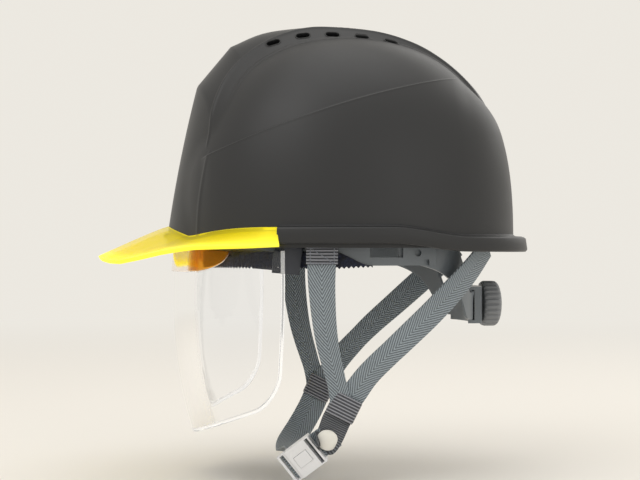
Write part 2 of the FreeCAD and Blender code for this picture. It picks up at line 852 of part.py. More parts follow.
def crown_arch(name, reach, height, across, centre):
    """A flat strap bent over the crown; across is the direction of its width."""
    half = size("crown_width") / 2
    solids = []
    for word, inset in (("outer", "0"), ("inner", "sizes.crown_thickness")):
        oval = doc.addObject("Part::Ellipse", f"{name}_{word}_oval")
        bind(oval, MajorRadius=f"{height}-{inset}", MinorRadius=f"{reach}-{inset}")
        oval.Placement = frame(Z_AXIS, across, V(0, centre, 0) - across * half)
        prism = doc.addObject("Part::Extrusion", f"{name}_{word}")
        prism.Base = oval
        prism.DirMode = "Custom"
        prism.Dir = across
        prism.Solid = True
        bind(prism, LengthFwd="sizes.crown_width")
        solids.append(prism)
    low = box(f"{name}_low", (-150, -150, -200), (150, 150, size("crown_end")))
    return finish(cut(name, solids[0], [solids[1], low]), name)


def make_crown_pad():
    shells = []
    for word, inset in (("outer", "3"), ("inner", "3-sizes.pad_thickness")):
        ball = doc.addObject("Part::Ellipsoid", f"pad_{word}")
        bind(
            ball,
            Radius1=f"sizes.crown_height-sizes.cross_drop-{inset}",
            Radius2=f"sizes.crown_half_width-{inset}",
            Radius3=f"sizes.crown_half_length-{inset}",
        )
        ball.Placement.Base = V(0, size("band_centre"), 0)
        shells.append(ball)
    skin = cut("pad_skin", shells[0], [shells[1]])
    reach = rod("pad_reach", "sizes.pad_radius", 100, (0, size("band_centre"), 60), Z_AXIS)
    return finish(common("crown_pad", [skin, reach]), "crown_pad")


KEY_PLACES = ((6.0, 81.2, 99.0), (36.0, 79.0, 93.0))


def make_keys():
    keys = []
    for side in (1, -1):
        for index, (back, near, far) in enumerate(KEY_PLACES):
            low, high = sorted((side * near, side * far))
            name = f"key_{index}_{'left' if side > 0 else 'right'}"
            keys.append(box(name, (low, back - 6, 13), (high, back + 6, 23)))
    group = doc.addObject("Part::Compound", "suspension_keys")
    group.Links = keys
    return finish(group, "suspension_keys")


# ---------------------------------------------------------------- webbing


def strap_solid(points, normals):
    """Webbing as a loft through flat sections; each normal points out of the strap's face."""
    half_width = size("web_width") / 2
    half_thickness = size("web_thickness") / 2
    sections = []
    last = len(points) - 1
    for index, (point, normal) in enumerate(zip(points, normals)):
        along = (V(*points[min(index + 1, last)]) - V(*points[max(index - 1, 0)])).normalize()
        across = V(*normal).cross(along).normalize()
        out = along.cross(across).normalize()
        corners = []
        for side, face in ((-1, -1), (1, -1), (1, 1), (-1, 1)):
            corners.append(V(*point) + across * (side * half_width) + out * (face * half_thickness))
        sections.append(Part.makePolygon(corners + corners[:1]))
    return Part.makeLoft(sections, True, True)


def mirror_points(points, side):
    return [(side * x, y, z) for x, y, z in points]


def add_strap(label, points, normals, side=1, holes=()):
    """A strap along points, mirrored for the wearer's right, with round holes taken out."""
    solid = strap_solid(mirror_points(points, side), mirror_points(normals, side))
    for base, direction, radius in holes:
        hole = Part.makeCylinder(radius, 8, V(*base) - V(*direction).normalize() * 4, V(*direction))
        solid = solid.cut(hole)
    feature = doc.addObject("Part::Feature", label)
    feature.Shape = solid
    return finish(feature, label)


FRONT_WEB = (
    ((91.5, -26, 2.5), (88.5, -24.5, -25), (80.5, -16.5, -62), (71.8, -3.5, -93), (70.5, -7.3, -106.5)),
    ((1, 0, 0.05), (1, 0, 0.15), (1, 0, 0.25), (1, 0, 0.1), (1, 0, 0)),
)
REAR_WEB = (
    (
        (50, 99, 2.5),
        (61, 83, -14),
        (73, 58, -38),
        (77, 36, -58),
        (73, 14, -79),
        (67.0, -1.5, -95.5),
        (66.4, -7.3, -106.5),
    ),
    (
        (0.45, 0.85, 0),
        (0.6, 0.7, 0),
        (0.85, 0.5, 0.1),
        (0.97, 0.2, 0.1),
        (0.98, 0.1, 0.15),
        (1, 0, 0.1),
        (1, 0, 0),
    ),
)
KEEPER_CENTRE = (68.5, -7.1, -106.3)
KEEPER_ALONG = (0.0, -0.454, -0.891)
SNAP_CENTRE = (62.5, -17.4, -128.7)
BUCKLE_CENTRE = (57.0, -33.5, -141.5)
TAB_START = (68.5, -7.9, -108.0)


def buckle_frame_axes():
    """The buckle's own axes: along the strap, across it, and out of its face."""
    along = (V(*BUCKLE_CENTRE) - V(*SNAP_CENTRE)).normalize()
    out = (X_AXIS - along * X_AXIS.dot(along)).normalize()
    return along, out


def make_tab():
    """The doubled webbing from the left keeper to the buckle, with the snap's hole."""
    along, out = buckle_frame_axes()
    end = V(*BUCKLE_CENTRE) - along * 12.8
    normal = (out.x, out.y, out.z)
    points = (TAB_START, (67.0, -11.5, -116), SNAP_CENTRE, (end.x, end.y, end.z))
    normals = ((1, 0, 0), (1, -0.05, -0.1), normal, normal)
    return add_strap("chin_tab", points, normals, holes=((SNAP_CENTRE, normal, size("snap_post")),))


def make_chin_strap():
    """The webbing from the buckle's tongue under the chin and up to the right keeper."""
    along, out = buckle_frame_axes()
    start = V(*BUCKLE_CENTRE) + along * 12 - out * 3
    bend = start + along * 0.4 - out * 5
    points = (
        (start.x, start.y, start.z),
        (bend.x, bend.y, bend.z),
        (40, -40.5, -149.5),
        (20, -37.5, -147.0),
        (-10, -36, -146),
        (-38, -33.0, -143.5),
        (-56, -24, -135),
        (-64.5, -15, -122),
        (-68.5, -8.2, -108.5),
    )
    normals = (
        (along.x, along.y, along.z),
        (along.x, along.y, along.z),
        (0.2, 0, -1),
        (0.12, 0, -1),
        (0, 0, -1),
        (-0.3, -0.1, -1),
        (-0.8, -0.2, -0.6),
        (-1, -0.1, -0.3),
        (-1, 0, 0),
    )
    return add_strap("chin_strap", points, normals)


def local_box(name, low, high):
    """A box in the buckle's own axes."""
    along, out = buckle_frame_axes()
    feature = box(name, low, high)
    place = frame(along, out, V(*BUCKLE_CENTRE))
    feature.Placement = place.multiply(FreeCAD.Placement(V(*low), FreeCAD.Rotation()))
    return feature


def make_buckle_frame():
    wide, deep = size("buckle_half_width"), size("buckle_half_depth")
    front, rear = size("buckle_front"), size("buckle_rear")
    body = local_box("buckle_block", (rear, -wide, -deep), (front, wide, deep))
    half, depth = size("pocket_half_width"), size("pocket_half_depth")
    pocket = local_box("buckle_pocket", (-7, -half, -depth), (front + 1.5, half, depth))
    slot_half = size("buckle_slot_half")
    slot = local_box(
        "buckle_slot",
        (size("buckle_slot_rear"), -slot_half, -deep - 1),
        (size("buckle_slot_front"), slot_half, deep + 1),
    )
    gap = size("window_margin")
    reach, across = size("tab_half_length") + gap, size("tab_half_width") + gap
    bar_room = size("tab_half_length") + RELEASE_BAR + 0.3
    window = local_box("buckle_window", (-bar_room, -across, 0), (reach, across, deep + 1))
    return finish(cut("buckle_frame", body, [pocket, slot, window]), "buckle_frame")


RELEASE_BAR = 0.8


def make_buckle_release():
    """The tab in the buckle's window, with the round bar at one end that it turns on."""
    along, out = buckle_frame_axes()
    reach, half = size("tab_half_length"), size("tab_half_width")
    low, high = size("tab_low"), size("tab_high")
    tab = local_box("release_tab", (-reach, -half, low), (reach, half, high))
    across = out.cross(along)
    base = V(*BUCKLE_CENTRE) - along * reach + out * ((low + high) / 2) - across * half
    bar = rod("release_bar", str(RELEASE_BAR), 2 * half, (base.x, base.y, base.z), across)
    return finish(fuse("buckle_release", [tab, bar]), "buckle_release")


def make_buckle_tongue():
    """The plate that pushes into the buckle, with the loop that holds the chin strap."""
    half, wide = size("tongue_half_width"), size("buckle_half_width")
    plate = local_box("tongue_plate", (-6, -half, -1.8), (half, half, 0.6))
    loop = local_box("tongue_loop", (size("loop_rear"), -wide, -2), (size("loop_front"), wide, 2))
    slot_half = size("buckle_slot_half")
    slot = local_box(
        "tongue_slot",
        (size("loop_slot_rear"), -slot_half, -5),
        (size("loop_slot_front"), slot_half, 5),
    )
    whole = fuse("tongue_whole", [plate, loop])
    return finish(cut("buckle_tongue", whole, [slot]), "buckle_tongue")


def keeper_box(name, side, half_length, half_width, half_depth):
    """A box about a keeper's centre, lying along the straps that run through it."""
    low = (-half_length, -half_width, -half_depth)
    feature = box(name, low, (half_length, half_width, half_depth))
    x, y, z = KEEPER_CENTRE
    place = frame(V(*KEEPER_ALONG), X_AXIS, V(side * x, y, z))
    feature.Placement = place.multiply(FreeCAD.Placement(V(*low), FreeCAD.Rotation()))
    return feature


def make_keeper(side, word):
    half = size("keeper_height") / 2
    wide, deep, wall = size("keeper_half_width"), size("keeper_half_depth"), size("keeper_wall")
    outer = keeper_box(f"keeper_outer_{word}", side, half, wide, deep)
    inner = keeper_box(f"keeper_inner_{word}", side, half + 5, wide - wall, deep - wall)
    return finish(cut(f"keeper_{word}", outer, [inner]), f"keeper_{word}")


def make_snap():
    normal = buckle_frame_axes()[1]
    half = size("web_thickness") / 2
    base = V(*SNAP_CENTRE)
    head = rod("snap_head", "sizes.snap_radius", size("snap_height"), base + normal * half, normal)
    post = rod("snap_post_rod", "sizes.snap_post", 2 * half + 1, base - normal * (half + 0.5), normal)
    finish(fuse("snap_cap", [head, post]), "snap_cap")
    ring = rod("snap_ring", "sizes.snap_radius-2", 2.2, base - normal * half, -normal)
    bore = rod("snap_bore", "sizes.snap_post", 5, base + normal, -normal)
    return finish(cut("snap_socket", ring, [bore]), "snap_socket")


def make_anchors():
    blocks = []
    for side in (1, -1):
        word = "left" if side > 0 else "right"
        low, high = sorted((side * 89.5, side * 94.6))
        blocks.append(box(f"anchor_front_{word}", (low, -36, 3.5), (high, -16, 12)))
        low, high = sorted((side * 42, side * 54))
        blocks.append(box(f"anchor_rear_{word}", (low, 96, 3.5), (high, 101, 12)))
    group = doc.addObject("Part::Compound", "web_anchors")
    group.Links = blocks
    return finish(group, "web_anchors")


def build():
    make_shell()
    make_peak()
    make_rivets()
    make_liner()
    make_lens()
    make_grip()
    make_pins()
    make_rail_screws()
    make_headband()
    make_sweatband()
    make_housing()
    make_cover()
    make_knob()
    make_pinion()
    make_knob_screw()
    centre = size("band_centre")
    crown_arch("crown_strap_long", "sizes.crown_half_length", "sizes.crown_height", X_AXIS, centre)
    cross_height = "sizes.crown_height-sizes.cross_drop"
    crown_arch("crown_strap_cross", "sizes.crown_half_width", cross_height, Y_AXIS, centre)
    make_crown_pad()
    make_keys()
    make_anchors()
    make_tab()
    make_chin_strap()
    make_snap()
    make_buckle_frame()
    make_buckle_release()
    make_buckle_tongue()
    for side, word in ((1, "left"), (-1, "right")):
        make_slider(side, word)
        make_rail(side, word)
        make_nape_strap(side, word)
        add_strap(f"web_front_{word}", FRONT_WEB[0], FRONT_WEB[1], side)
        add_strap(f"web_rear_{word}", REAR_WEB[0], REAR_WEB[1], side)
        make_keeper(side, word)


def check():
    """Stops if any object failed or any sub-part has no valid shape."""
    for item in doc.Objects:
        if "Invalid" in item.State or "Error" in item.State:
            raise RuntimeError(f"{item.Name}: {item.State}")
    for item in subparts:
        if item.Shape.isNull() or not item.Shape.isValid() or item.Shape.Volume <= 0:
            raise RuntimeError(f"{item.Label}: no valid solid")


build()
doc.recompute()
check()
os.makedirs("parts", exist_ok=True)
for item in subparts:
    item.Shape.exportStep(f"parts/{item.Label}.step")
    print(item.Label, len(item.Shape.Solids), round(item.Shape.Volume))
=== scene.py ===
import json
import math

import bpy
import numpy as np
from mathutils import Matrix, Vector


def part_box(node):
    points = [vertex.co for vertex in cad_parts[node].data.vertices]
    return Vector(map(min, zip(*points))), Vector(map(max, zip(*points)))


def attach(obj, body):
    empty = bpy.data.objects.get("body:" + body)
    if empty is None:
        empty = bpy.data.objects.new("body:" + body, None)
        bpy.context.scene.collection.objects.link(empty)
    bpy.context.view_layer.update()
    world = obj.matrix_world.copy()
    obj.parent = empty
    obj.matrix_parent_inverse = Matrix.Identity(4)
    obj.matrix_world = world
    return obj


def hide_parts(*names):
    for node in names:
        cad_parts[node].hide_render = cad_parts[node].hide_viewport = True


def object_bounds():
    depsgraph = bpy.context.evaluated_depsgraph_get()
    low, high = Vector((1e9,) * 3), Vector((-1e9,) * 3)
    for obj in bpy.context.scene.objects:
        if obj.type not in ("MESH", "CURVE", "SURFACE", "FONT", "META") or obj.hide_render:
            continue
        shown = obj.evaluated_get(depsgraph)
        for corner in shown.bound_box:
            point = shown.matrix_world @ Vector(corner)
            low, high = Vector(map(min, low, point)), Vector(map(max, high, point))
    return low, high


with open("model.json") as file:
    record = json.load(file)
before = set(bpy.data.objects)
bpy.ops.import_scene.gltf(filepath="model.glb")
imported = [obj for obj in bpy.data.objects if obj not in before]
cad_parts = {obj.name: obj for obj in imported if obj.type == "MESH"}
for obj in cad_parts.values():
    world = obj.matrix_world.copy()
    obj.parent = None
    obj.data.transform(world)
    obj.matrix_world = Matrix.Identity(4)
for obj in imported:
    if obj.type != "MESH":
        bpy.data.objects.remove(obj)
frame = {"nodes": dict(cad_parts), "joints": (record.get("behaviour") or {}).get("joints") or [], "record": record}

MM = 0.001
start_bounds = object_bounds()
rng = np.random.default_rng(7)


# ---- places taken from the frame


def box_mm(name):
    """A CAD node's low and high corner in mm."""
    low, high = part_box(name)
    return np.array(low) / MM, np.array(high) / MM


def inside(name, *fractions):
    """A point in mm at the given fractions of a CAD node's box."""
    low, high = box_mm(name)
    return low + (high - low) * np.array(fractions)


# ---- mesh helpers


def unit(vectors):
    """Vectors of length one."""
    vectors = np.asarray(vectors, float)
    return vectors / np.maximum(np.linalg.norm(vectors, axis=-1, keepdims=True), 1e-9)


def smoothstep(low, high, value):
    """0 below low, 1 above high, and a smooth rise between them; low may be the greater."""
    t = np.clip((value - low) / (high - low), 0, 1)
    return t * t * (3 - 2 * t)


def run_along(path):
    """The distance along a path at each of its points."""
    return np.concatenate([[0], np.cumsum(np.linalg.norm(np.diff(path, axis=0), axis=1))])


def spaced(path, count):
    """count points along a path, evenly spaced."""
    run = run_along(path)
    wanted = np.linspace(0, run[-1], count)
    return np.stack([np.interp(wanted, run, path[:, k]) for k in range(path.shape[1])], axis=1)


def upright(count):
    return np.tile((0.0, 0.0, 1.0), (count, 1))


def spline(points, count):
    """count points along a Catmull-Rom curve through the given points, evenly spaced by length."""
    points = np.asarray(points, float)
    ends = np.vstack([2 * points[0] - points[1], points, 2 * points[-1] - points[-2]])
    dense = []
    for i in range(1, len(ends) - 2):
        a, b, c, d = ends[i - 1 : i + 3]
        t = np.linspace(0, 1, 40, endpoint=False)[:, None]
        bend = (2 * a - 5 * b + 4 * c - d) * t**2 + (3 * b - a - 3 * c + d) * t**3
        dense.append(0.5 * (2 * b + (c - a) * t + bend))
    dense = np.vstack(dense + [points[-1:]])
    return spaced(dense, count)


def add_mesh(name, points, faces, material, body, replaces=(), slot=None, uv=None, attribute=None):
    """A smooth piece from points in mm; uv holds one pair per point, in mm, and slot names a CAD node but is not
    used.
    """
    mesh = bpy.data.meshes.new(name)
    mesh.from_pydata((np.asarray(points) * MM).tolist(), [], faces)
    mesh.validate()
    if uv is not None:
        layer = mesh.uv_layers.new(name="UVMap")
        index = np.zeros(len(mesh.loops), np.int32)
        mesh.loops.foreach_get("vertex_index", index)
        layer.data.foreach_set("uv", np.asarray(uv, np.float32)[index].ravel())
    if attribute is not None:
        label, values = attribute
        layer = mesh.attributes.new(label, "FLOAT", "POINT")
        layer.data.foreach_set("value", np.asarray(values, np.float32).ravel())
    mesh.polygons.foreach_set("use_smooth", [True] * len(mesh.polygons))
    mesh.materials.append(material)
    piece = bpy.data.objects.new(name, mesh)
    bpy.context.scene.collection.objects.link(piece)
    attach(piece, body)
    if replaces:
        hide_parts(*replaces)
    return piece


def grid_faces(rows, columns, wrap_rows=False, wrap_columns=False, flip=False):
    """Quads over a grid of rows by columns of points."""
    r = np.arange(rows if wrap_rows else rows - 1)[:, None]
    c = np.arange(columns if wrap_columns else columns - 1)[None, :]
    r2 = (r + 1) % rows
    c2 = (c + 1) % columns
    corners = [r * columns + c, r * columns + c2, r2 * columns + c2, r2 * columns + c]
    quads = np.stack(corners, axis=-1).reshape(-1, 4)
    return (quads[:, ::-1] if flip else quads).tolist()


def sheet_faces(rows, columns, flip=False):
    """Faces of a closed sheet made of an outer grid and an inner grid of the same size."""
    count = rows * columns
    faces = grid_faces(rows, columns)
    faces += [[corner + count for corner in face] for face in grid_faces(rows, columns, flip=True)]
    ring = list(range(columns)) + [r * columns + columns - 1 for r in range(1, rows)]
    ring += [(rows - 1) * columns + c for c in range(columns - 2, -1, -1)]
    ring += [r * columns for r in range(rows - 2, 0, -1)]
    for a, b in zip(ring, ring[1:] + ring[:1]):
        faces.append([b, a, a + count, b + count])
    return [face[::-1] for face in faces] if flip else faces


def last_ring(rows, columns):
    """The face that closes the last row of a grid."""
    return [(rows - 1) * columns + k for k in range(columns)]


def sweep(name, path, a_axis, b_axis, profile, material, body, closed=False, **options):
    """A section carried along a path: each point of the profile is (a, b) along the two axes."""
    path = np.asarray(path, float)
    profile = np.asarray(profile, float)
    if profile.ndim == 2:
        profile = np.broadcast_to(profile, (len(path), *profile.shape))
    points = path[:, None] + profile[..., :1] * a_axis[:, None] + profile[..., 1:] * b_axis[:, None]
    rows, columns = points.shape[:2]
    faces = grid_faces(rows, columns, wrap_rows=closed, wrap_columns=True)
    if not closed:
        faces += [list(range(columns)), last_ring(rows, columns)[::-1]]
    uv = np.stack([np.repeat(run_along(path), columns), profile[..., 0].ravel()], axis=1)
    return add_mesh(name, points.reshape(-1, 3), faces, material, body, uv=uv, **options)


def rounded_section(width, thickness, radius, steps=4):
    """A rectangle with round corners, as (across, out) pairs, with steps + 1 points to a corner."""
    corners = ((1, 1), (-1, 1), (-1, -1), (1, -1))
    points = []
    for index, (sx, sy) in enumerate(corners):
        turn = math.pi / 2 * (index + np.arange(steps + 1) / steps)
        across = sx * (width / 2 - radius) + radius * np.cos(turn)
        out = sy * (thickness / 2 - radius) + radius * np.sin(turn)
        points.append(np.stack([across, out], axis=1))
    return np.vstack(points)


def path_frames(path, normals):
    """The across and out axes along a path, from rough outward normals."""
    along = unit(np.gradient(path, axis=0))
    across = unit(np.cross(normals, along))
    return across, unit(np.cross(along, across))


# ---- materials


def new_material(name, color, roughness, **inputs):
    """A principled material; returns it with its node tree and shader for more wiring."""
    material = bpy.data.materials.new(name)
    material.use_nodes = True
    tree = material.node_tree
    shader = tree.nodes["Principled BSDF"]
    shader.inputs["Base Color"].default_value = (*color, 1)
    shader.inputs["Roughness"].default_value = roughness
    for key, value in inputs.items():
        shader.inputs[key.replace("_", " ")].default_value = value
    return material, tree, shader


def node(tree, kind, **settings):
    """A shader node, with each setting put on its input of that name or on the node itself."""
    made = tree.nodes.new(kind)
    for key, value in settings.items():
        if key in made.inputs:
            made.inputs[key].default_value = value
        else:
            setattr(made, key, value)
    return made


def math_node(tree, operation, *values):
    """The result of a sum; each value is a number or another node's output."""
    made = node(tree, "ShaderNodeMath", operation=operation)
    for index, value in enumerate(values):
        if isinstance(value, (int, float)):
            made.inputs[index].default_value = value
        else:
            tree.links.new(value, made.inputs[index])
    return made.outputs[0]


def wave(tree, run, pitch):
    """A sine that repeats once a pitch along run."""
    return math_node(tree, "SINE", math_node(tree, "MULTIPLY", run, 2 * math.pi / pitch))


def position(tree):
    """Object-space position, in metres."""
    return node(tree, "ShaderNodeTexCoord").outputs["Object"]


def noise(tree, scale, detail=3.0):
    made = node(tree, "ShaderNodeTexNoise", Scale=scale, Detail=detail)
    tree.links.new(position(tree), made.inputs["Vector"])
    return made.outputs["Fac"]


def bump(tree, shader, height, strength, distance):
    made = node(tree, "ShaderNodeBump", Strength=strength, Distance=distance)
    tree.links.new(height, made.inputs["Height"])
    tree.links.new(made.outputs["Normal"], shader.inputs["Normal"])


def blend_colors(tree, factor, first, second):
    made = node(tree, "ShaderNodeMix", data_type="RGBA")
    for item, value in (("A", first), ("B", second)):
        for socket in made.inputs:
            if socket.name == item and socket.type == "RGBA":
                socket.default_value = (*value, 1)
    tree.links.new(factor, made.inputs["Factor"])
    return [out for out in made.outputs if out.type == "RGBA"][0]


def moulded(name, color, roughness, grain=1400.0, strength=0.06, variation=0.06):
    """Moulded plastic: fine grain in the surface and a slight change of tone and gloss."""
    material, tree, shader = new_material(name, color, roughness)
    broad = noise(tree, 18.0)
    dark = tuple(c * (1 - variation) for c in color)
    light = tuple(min(1, c * (1 + variation)) for c in color)
    tree.links.new(blend_colors(tree, broad, dark, light), shader.inputs["Base Color"])
    rough = math_node(tree, "MULTIPLY_ADD", noise(tree, 60.0), 0.08, roughness - 0.04)
    tree.links.new(rough, shader.inputs["Roughness"])
    bump(tree, shader, noise(tree, grain, 2.0), strength, 0.0002)
    return material


def uv_parts(tree):
    """The distances along and across a woven piece, in mm."""
    split = node(tree, "ShaderNodeSeparateXYZ")
    tree.links.new(node(tree, "ShaderNodeUVMap").outputs["UV"], split.inputs[0])
    return split.outputs[0], split.outputs[1]


def herringbone(name, light, dark, pitch=3.0, column=10.0, slope=1.7, thread=0.7):
    """Woven webbing: diagonal ribs that change direction from column to column; the ribs are real, and their tones
    are painted shade, dark in the grooves and light on the rib tops.
    """
    material, tree, shader = new_material(name, dark, 0.72, Sheen_Weight=0.25)
    along, across = uv_parts(tree)
    folded = math_node(tree, "PINGPONG", across, column)
    phase = math_node(tree, "ADD", along, math_node(tree, "MULTIPLY", folded, slope))
    rib = math_node(tree, "MULTIPLY_ADD", wave(tree, phase, pitch), 0.5, 0.5)
    height = math_node(tree, "MULTIPLY_ADD", wave(tree, across, thread), 0.12, rib)
    fuzz = math_node(tree, "MULTIPLY", noise(tree, 900.0), 0.35)
    # Painted shade: the colour follows the rib height, so the grooves are dark and the rib tops light.
    factor = math_node(tree, "MULTIPLY_ADD", rib, 0.75, fuzz)
    tree.links.new(blend_colors(tree, factor, dark, light), shader.inputs["Base Color"])
    bump(tree, shader, height, 0.7, 0.0004)
    return material


def grosgrain(name, light, dark, pitch=2.1, thread=0.5):
    """Ribbed tape: straight ribs across its length, with painted shade, dark between the ribs and light on their
    tops.
    """
    material, tree, shader = new_material(name, dark, 0.65, Sheen_Weight=0.2)
    along, across = uv_parts(tree)
    rib = math_node(tree, "MULTIPLY_ADD", wave(tree, along, pitch), 0.5, 0.5)
    height = math_node(tree, "MULTIPLY_ADD", wave(tree, across, thread), 0.1, rib)
    # Painted shade: the colour follows the ribs, dark in the grooves and light on the tops.
    tint = blend_colors(tree, math_node(tree, "POWER", rib, 2.0), dark, light)
    tree.links.new(tint, shader.inputs["Base Color"])
    bump(tree, shader, height, 0.9, 0.0006)
    return material


def knitted(name, color, accent, cell=420.0):
    """Knitted mesh over foam: small round holes and a slight sheen."""
    material, tree, shader = new_material(name, color, 0.85, Sheen_Weight=0.4)
    cells = node(tree, "ShaderNodeTexVoronoi", Scale=cell)
    tree.links.new(position(tree), cells.inputs["Vector"])
    hole = cells.outputs["Distance"]
    tree.links.new(blend_colors(tree, hole, color, accent), shader.inputs["Base Color"])
    bump(tree, shader, hole, 0.8, 0.0006)
    return material


def bead_foam():
    """Expanded bead foam: closed cells a few millimetres across."""
    material, tree, shader = new_material("liner_foam", (0.62, 0.62, 0.6), 0.8)
    cells = node(tree, "ShaderNodeTexVoronoi", Scale=260.0, feature="DISTANCE_TO_EDGE")
    tree.links.new(position(tree), cells.inputs["Vector"])
    edge = cells.outputs["Distance"]
    shade = math_node(tree, "MINIMUM", math_node(tree, "MULTIPLY", edge, 6.0), 1.0)
    tree.links.new(blend_colors(tree, shade, (0.4, 0.4, 0.39), (0.7, 0.7, 0.68)), shader.inputs["Base Color"])
    bump(tree, shader, shade, 0.5, 0.0006)
    return material


def peak_plastic():
    """Fluorescent plastic, half clear in the middle, with a painted glow at the edges: lighter colour and emission
    where light leaves the plastic.
    """
    material, tree, shader = new_material("peak_yellow", (1.0, 0.85, 0.0), 0.35)
    shader.inputs["Specular IOR Level"].default_value = 0.12
    glow = node(tree, "ShaderNodeAttribute", attribute_name="glow").outputs["Fac"]
    # Painted highlight: the colour turns lighter where the glow attribute is high, along the edges and at the
    # root.
    tint = blend_colors(tree, glow, (0.95, 0.78, 0.0), (1.0, 0.93, 0.08))
    tree.links.new(tint, shader.inputs["Base Color"])
    tree.links.new(math_node(tree, "MULTIPLY_ADD", glow, 0.45, 0.52), shader.inputs["Alpha"])
    shader.inputs["Emission Color"].default_value = (1.0, 0.88, 0.03, 1)
    # Painted glow: the emission strength rises with the glow attribute, though the peak is no lamp.
    tree.links.new(math_node(tree, "MULTIPLY_ADD", glow, 0.45, 0.03), shader.inputs["Emission Strength"])
    bump(tree, shader, noise(tree, 30.0), 0.05, 0.0005)
    return material


def clear_plastic(name, tint, roughness, transmission, ior, glow=0.0):
    """Clear plastic; glow sets a white emission, painted light that stands in for a thick bright edge lit by the
    lamps.
    """
    material, tree, shader = new_material(name, tint, roughness)
    shader.inputs["Transmission Weight"].default_value = transmission
    shader.inputs["IOR"].default_value = ior
    shader.inputs["Emission Color"].default_value = (1, 1, 1, 1)
    # Painted glow: a white emission of strength glow, though the plastic is no lamp.
    shader.inputs["Emission Strength"].default_value = glow
    bump(tree, shader, noise(tree, 12.0), 0.02, 0.0005)
    return material


def metal(name, color, roughness):
    material, tree, shader = new_material(name, color, roughness, Metallic=1.0)
    bump(tree, shader, noise(tree, 800.0), 0.1, 0.0001)
    return material


JOINTS = {joint["name"]: joint for joint in frame["joints"]}
SLOTS = {row["node"]: row["material_slot"] for row in frame["record"]["subparts"]}

black_shell = moulded("shell_black", (0.0125, 0.0132, 0.0148), 0.44, 1600.0, 0.08, 0.08)
band_grey = moulded("band_grey", (0.15, 0.17, 0.19), 0.3, grain=500.0, strength=0.03)
knob_grey = moulded("knob_grey", (0.2, 0.21, 0.225), 0.4)
grey_plastic = moulded("grey_plastic", (0.2, 0.21, 0.23), 0.45)
black_plastic = moulded("black_plastic", (0.02, 0.02, 0.02), 0.4)
white_plastic = moulded("white_plastic", (0.82, 0.83, 0.86), 0.28, grain=300.0, strength=0.02, variation=0.02)
snap_white = moulded("snap_white", (0.86, 0.85, 0.8), 0.25, grain=200.0, strength=0.02, variation=0.02)
# Painted light and shade: the webbing's light tone is for lit rib tops and its dark tone for shaded grooves.
webbing = herringbone("webbing", (0.36, 0.42, 0.47), (0.035, 0.045, 0.055))
# Painted light and shade: each tape's light tone is for lit rib tops and its dark tone for shaded grooves.
ribbed_tape = grosgrain("ribbed_tape", (0.36, 0.37, 0.42), (0.04, 0.045, 0.055))
tab_tape = grosgrain("tab_tape", (0.2, 0.22, 0.25), (0.045, 0.05, 0.06), 1.5)
thread_grey = moulded("thread_grey", (0.2, 0.22, 0.26), 0.8, grain=3000.0, strength=0.4)
sweat_fabric = knitted("sweat_fabric", (0.012, 0.018, 0.05), (0.004, 0.005, 0.01))
liner_foam = bead_foam()
peak_yellow = peak_plastic()
shield_clear = clear_plastic("shield_clear", (0.985, 0.99, 1.0), 0.01, 1.0, 1.22)
# The bead's glow of 0.1 is painted light on its thick edge.
bead_clear = clear_plastic("bead_clear", (1.0, 1.0, 1.0), 0.05, 0.85, 1.4, glow=0.1)
slider_smoke = moulded("slider_smoke", (0.035, 0.04, 0.055), 0.35, grain=300.0, strength=0.02)
grip_amber = clear_plastic("grip_amber", (0.85, 0.42, 0.05), 0.12, 0.85, 1.15)
steel = metal("steel", (0.55, 0.55, 0.56), 0.35)


# ---- shell

SHELL_HIGH = box_mm("shell")[1]
VISOR_LOW, VISOR_HIGH = box_mm("visor")
FLARE = 5.5
WALL = 3.0
HALF_WIDTH = SHELL_HIGH[0] - FLARE
REAR_LENGTH = 124.5
FRONT_LENGTH = 119.0
DOME_HEIGHT = 153.0
PLAN_POWER = 2.15
JOINT_Y = VISOR_HIGH[1]

# The ridge's top line, as (back, up), and its left edge, as (out, back, up), from front to rear.
RIDGE_TOP = [
    (-122.3, 94.2), (-103.4, 117.0), (-79.8, 145.5), (-57.4, 155.2), (-33.3, 159.0), (-8.0, 159.5),
    (21.6, 157.8), (50.8, 151.0), (72.7, 139.5), (91.0, 124.8), (105.2, 108.0), (116.0, 84.0), (121.6, 62.0),
]
RIDGE_EDGE = [
    (47.0, -99.8, 69.0), (43.0, -96.5, 90.0), (38.0, -90.8, 108.6), (32.0, -82.3, 124.0), (27.0, -68.8, 138.0),
    (24.5, -52.0, 149.0), (22.5, -30.0, 156.5), (22.0, -8.0, 157.8), (22.0, 25.0, 154.8), (21.0, 52.0, 146.5),
    (19.0, 76.0, 132.5), (14.0, 97.0, 113.5), (8.0, 110.0, 93.0), (4.0, 119.0, 66.0),
]


def smooth_max(a, b, width):
    """The greater of two, with the corner between them rounded over width."""
    h = np.maximum(width - np.abs(a - b), 0) / width
    return np.maximum(a, b) + h * h * width / 4


def smooth_min(a, b, width):
    return -smooth_max(-a, -b, width)


def dome_reach(d):
    """How far the plain dome reaches along unit directions d."""
    x, y, z = np.abs(d[..., 0]), d[..., 1], np.maximum(d[..., 2], 0)
    length = np.where(y < 0, FRONT_LENGTH, REAR_LENGTH)
    level = np.maximum(np.hypot(x, y), 1e-6)
    back = smoothstep(0.5, 1.0, y / level) * (1 - smoothstep(0.62, 0.95, np.arctan2(z, level)))
    power = 2.4 + 0.4 * back
    plan = (x / HALF_WIDTH) ** PLAN_POWER + (np.abs(y) / length) ** PLAN_POWER
    return 1 / (plan ** (power / PLAN_POWER) + (z / DOME_HEIGHT) ** power) ** (1 / power)


FRONT_REACH = 125.98
FRONT_LEAN = 0.128
FRONT_BULGE = 0.00055
FRONT_RADIUS = 66.0
FRONT_SIDE = 51.5
FRONT_STEP = 4.0
FRONT_FADE = 5.0
FAR = 200.0


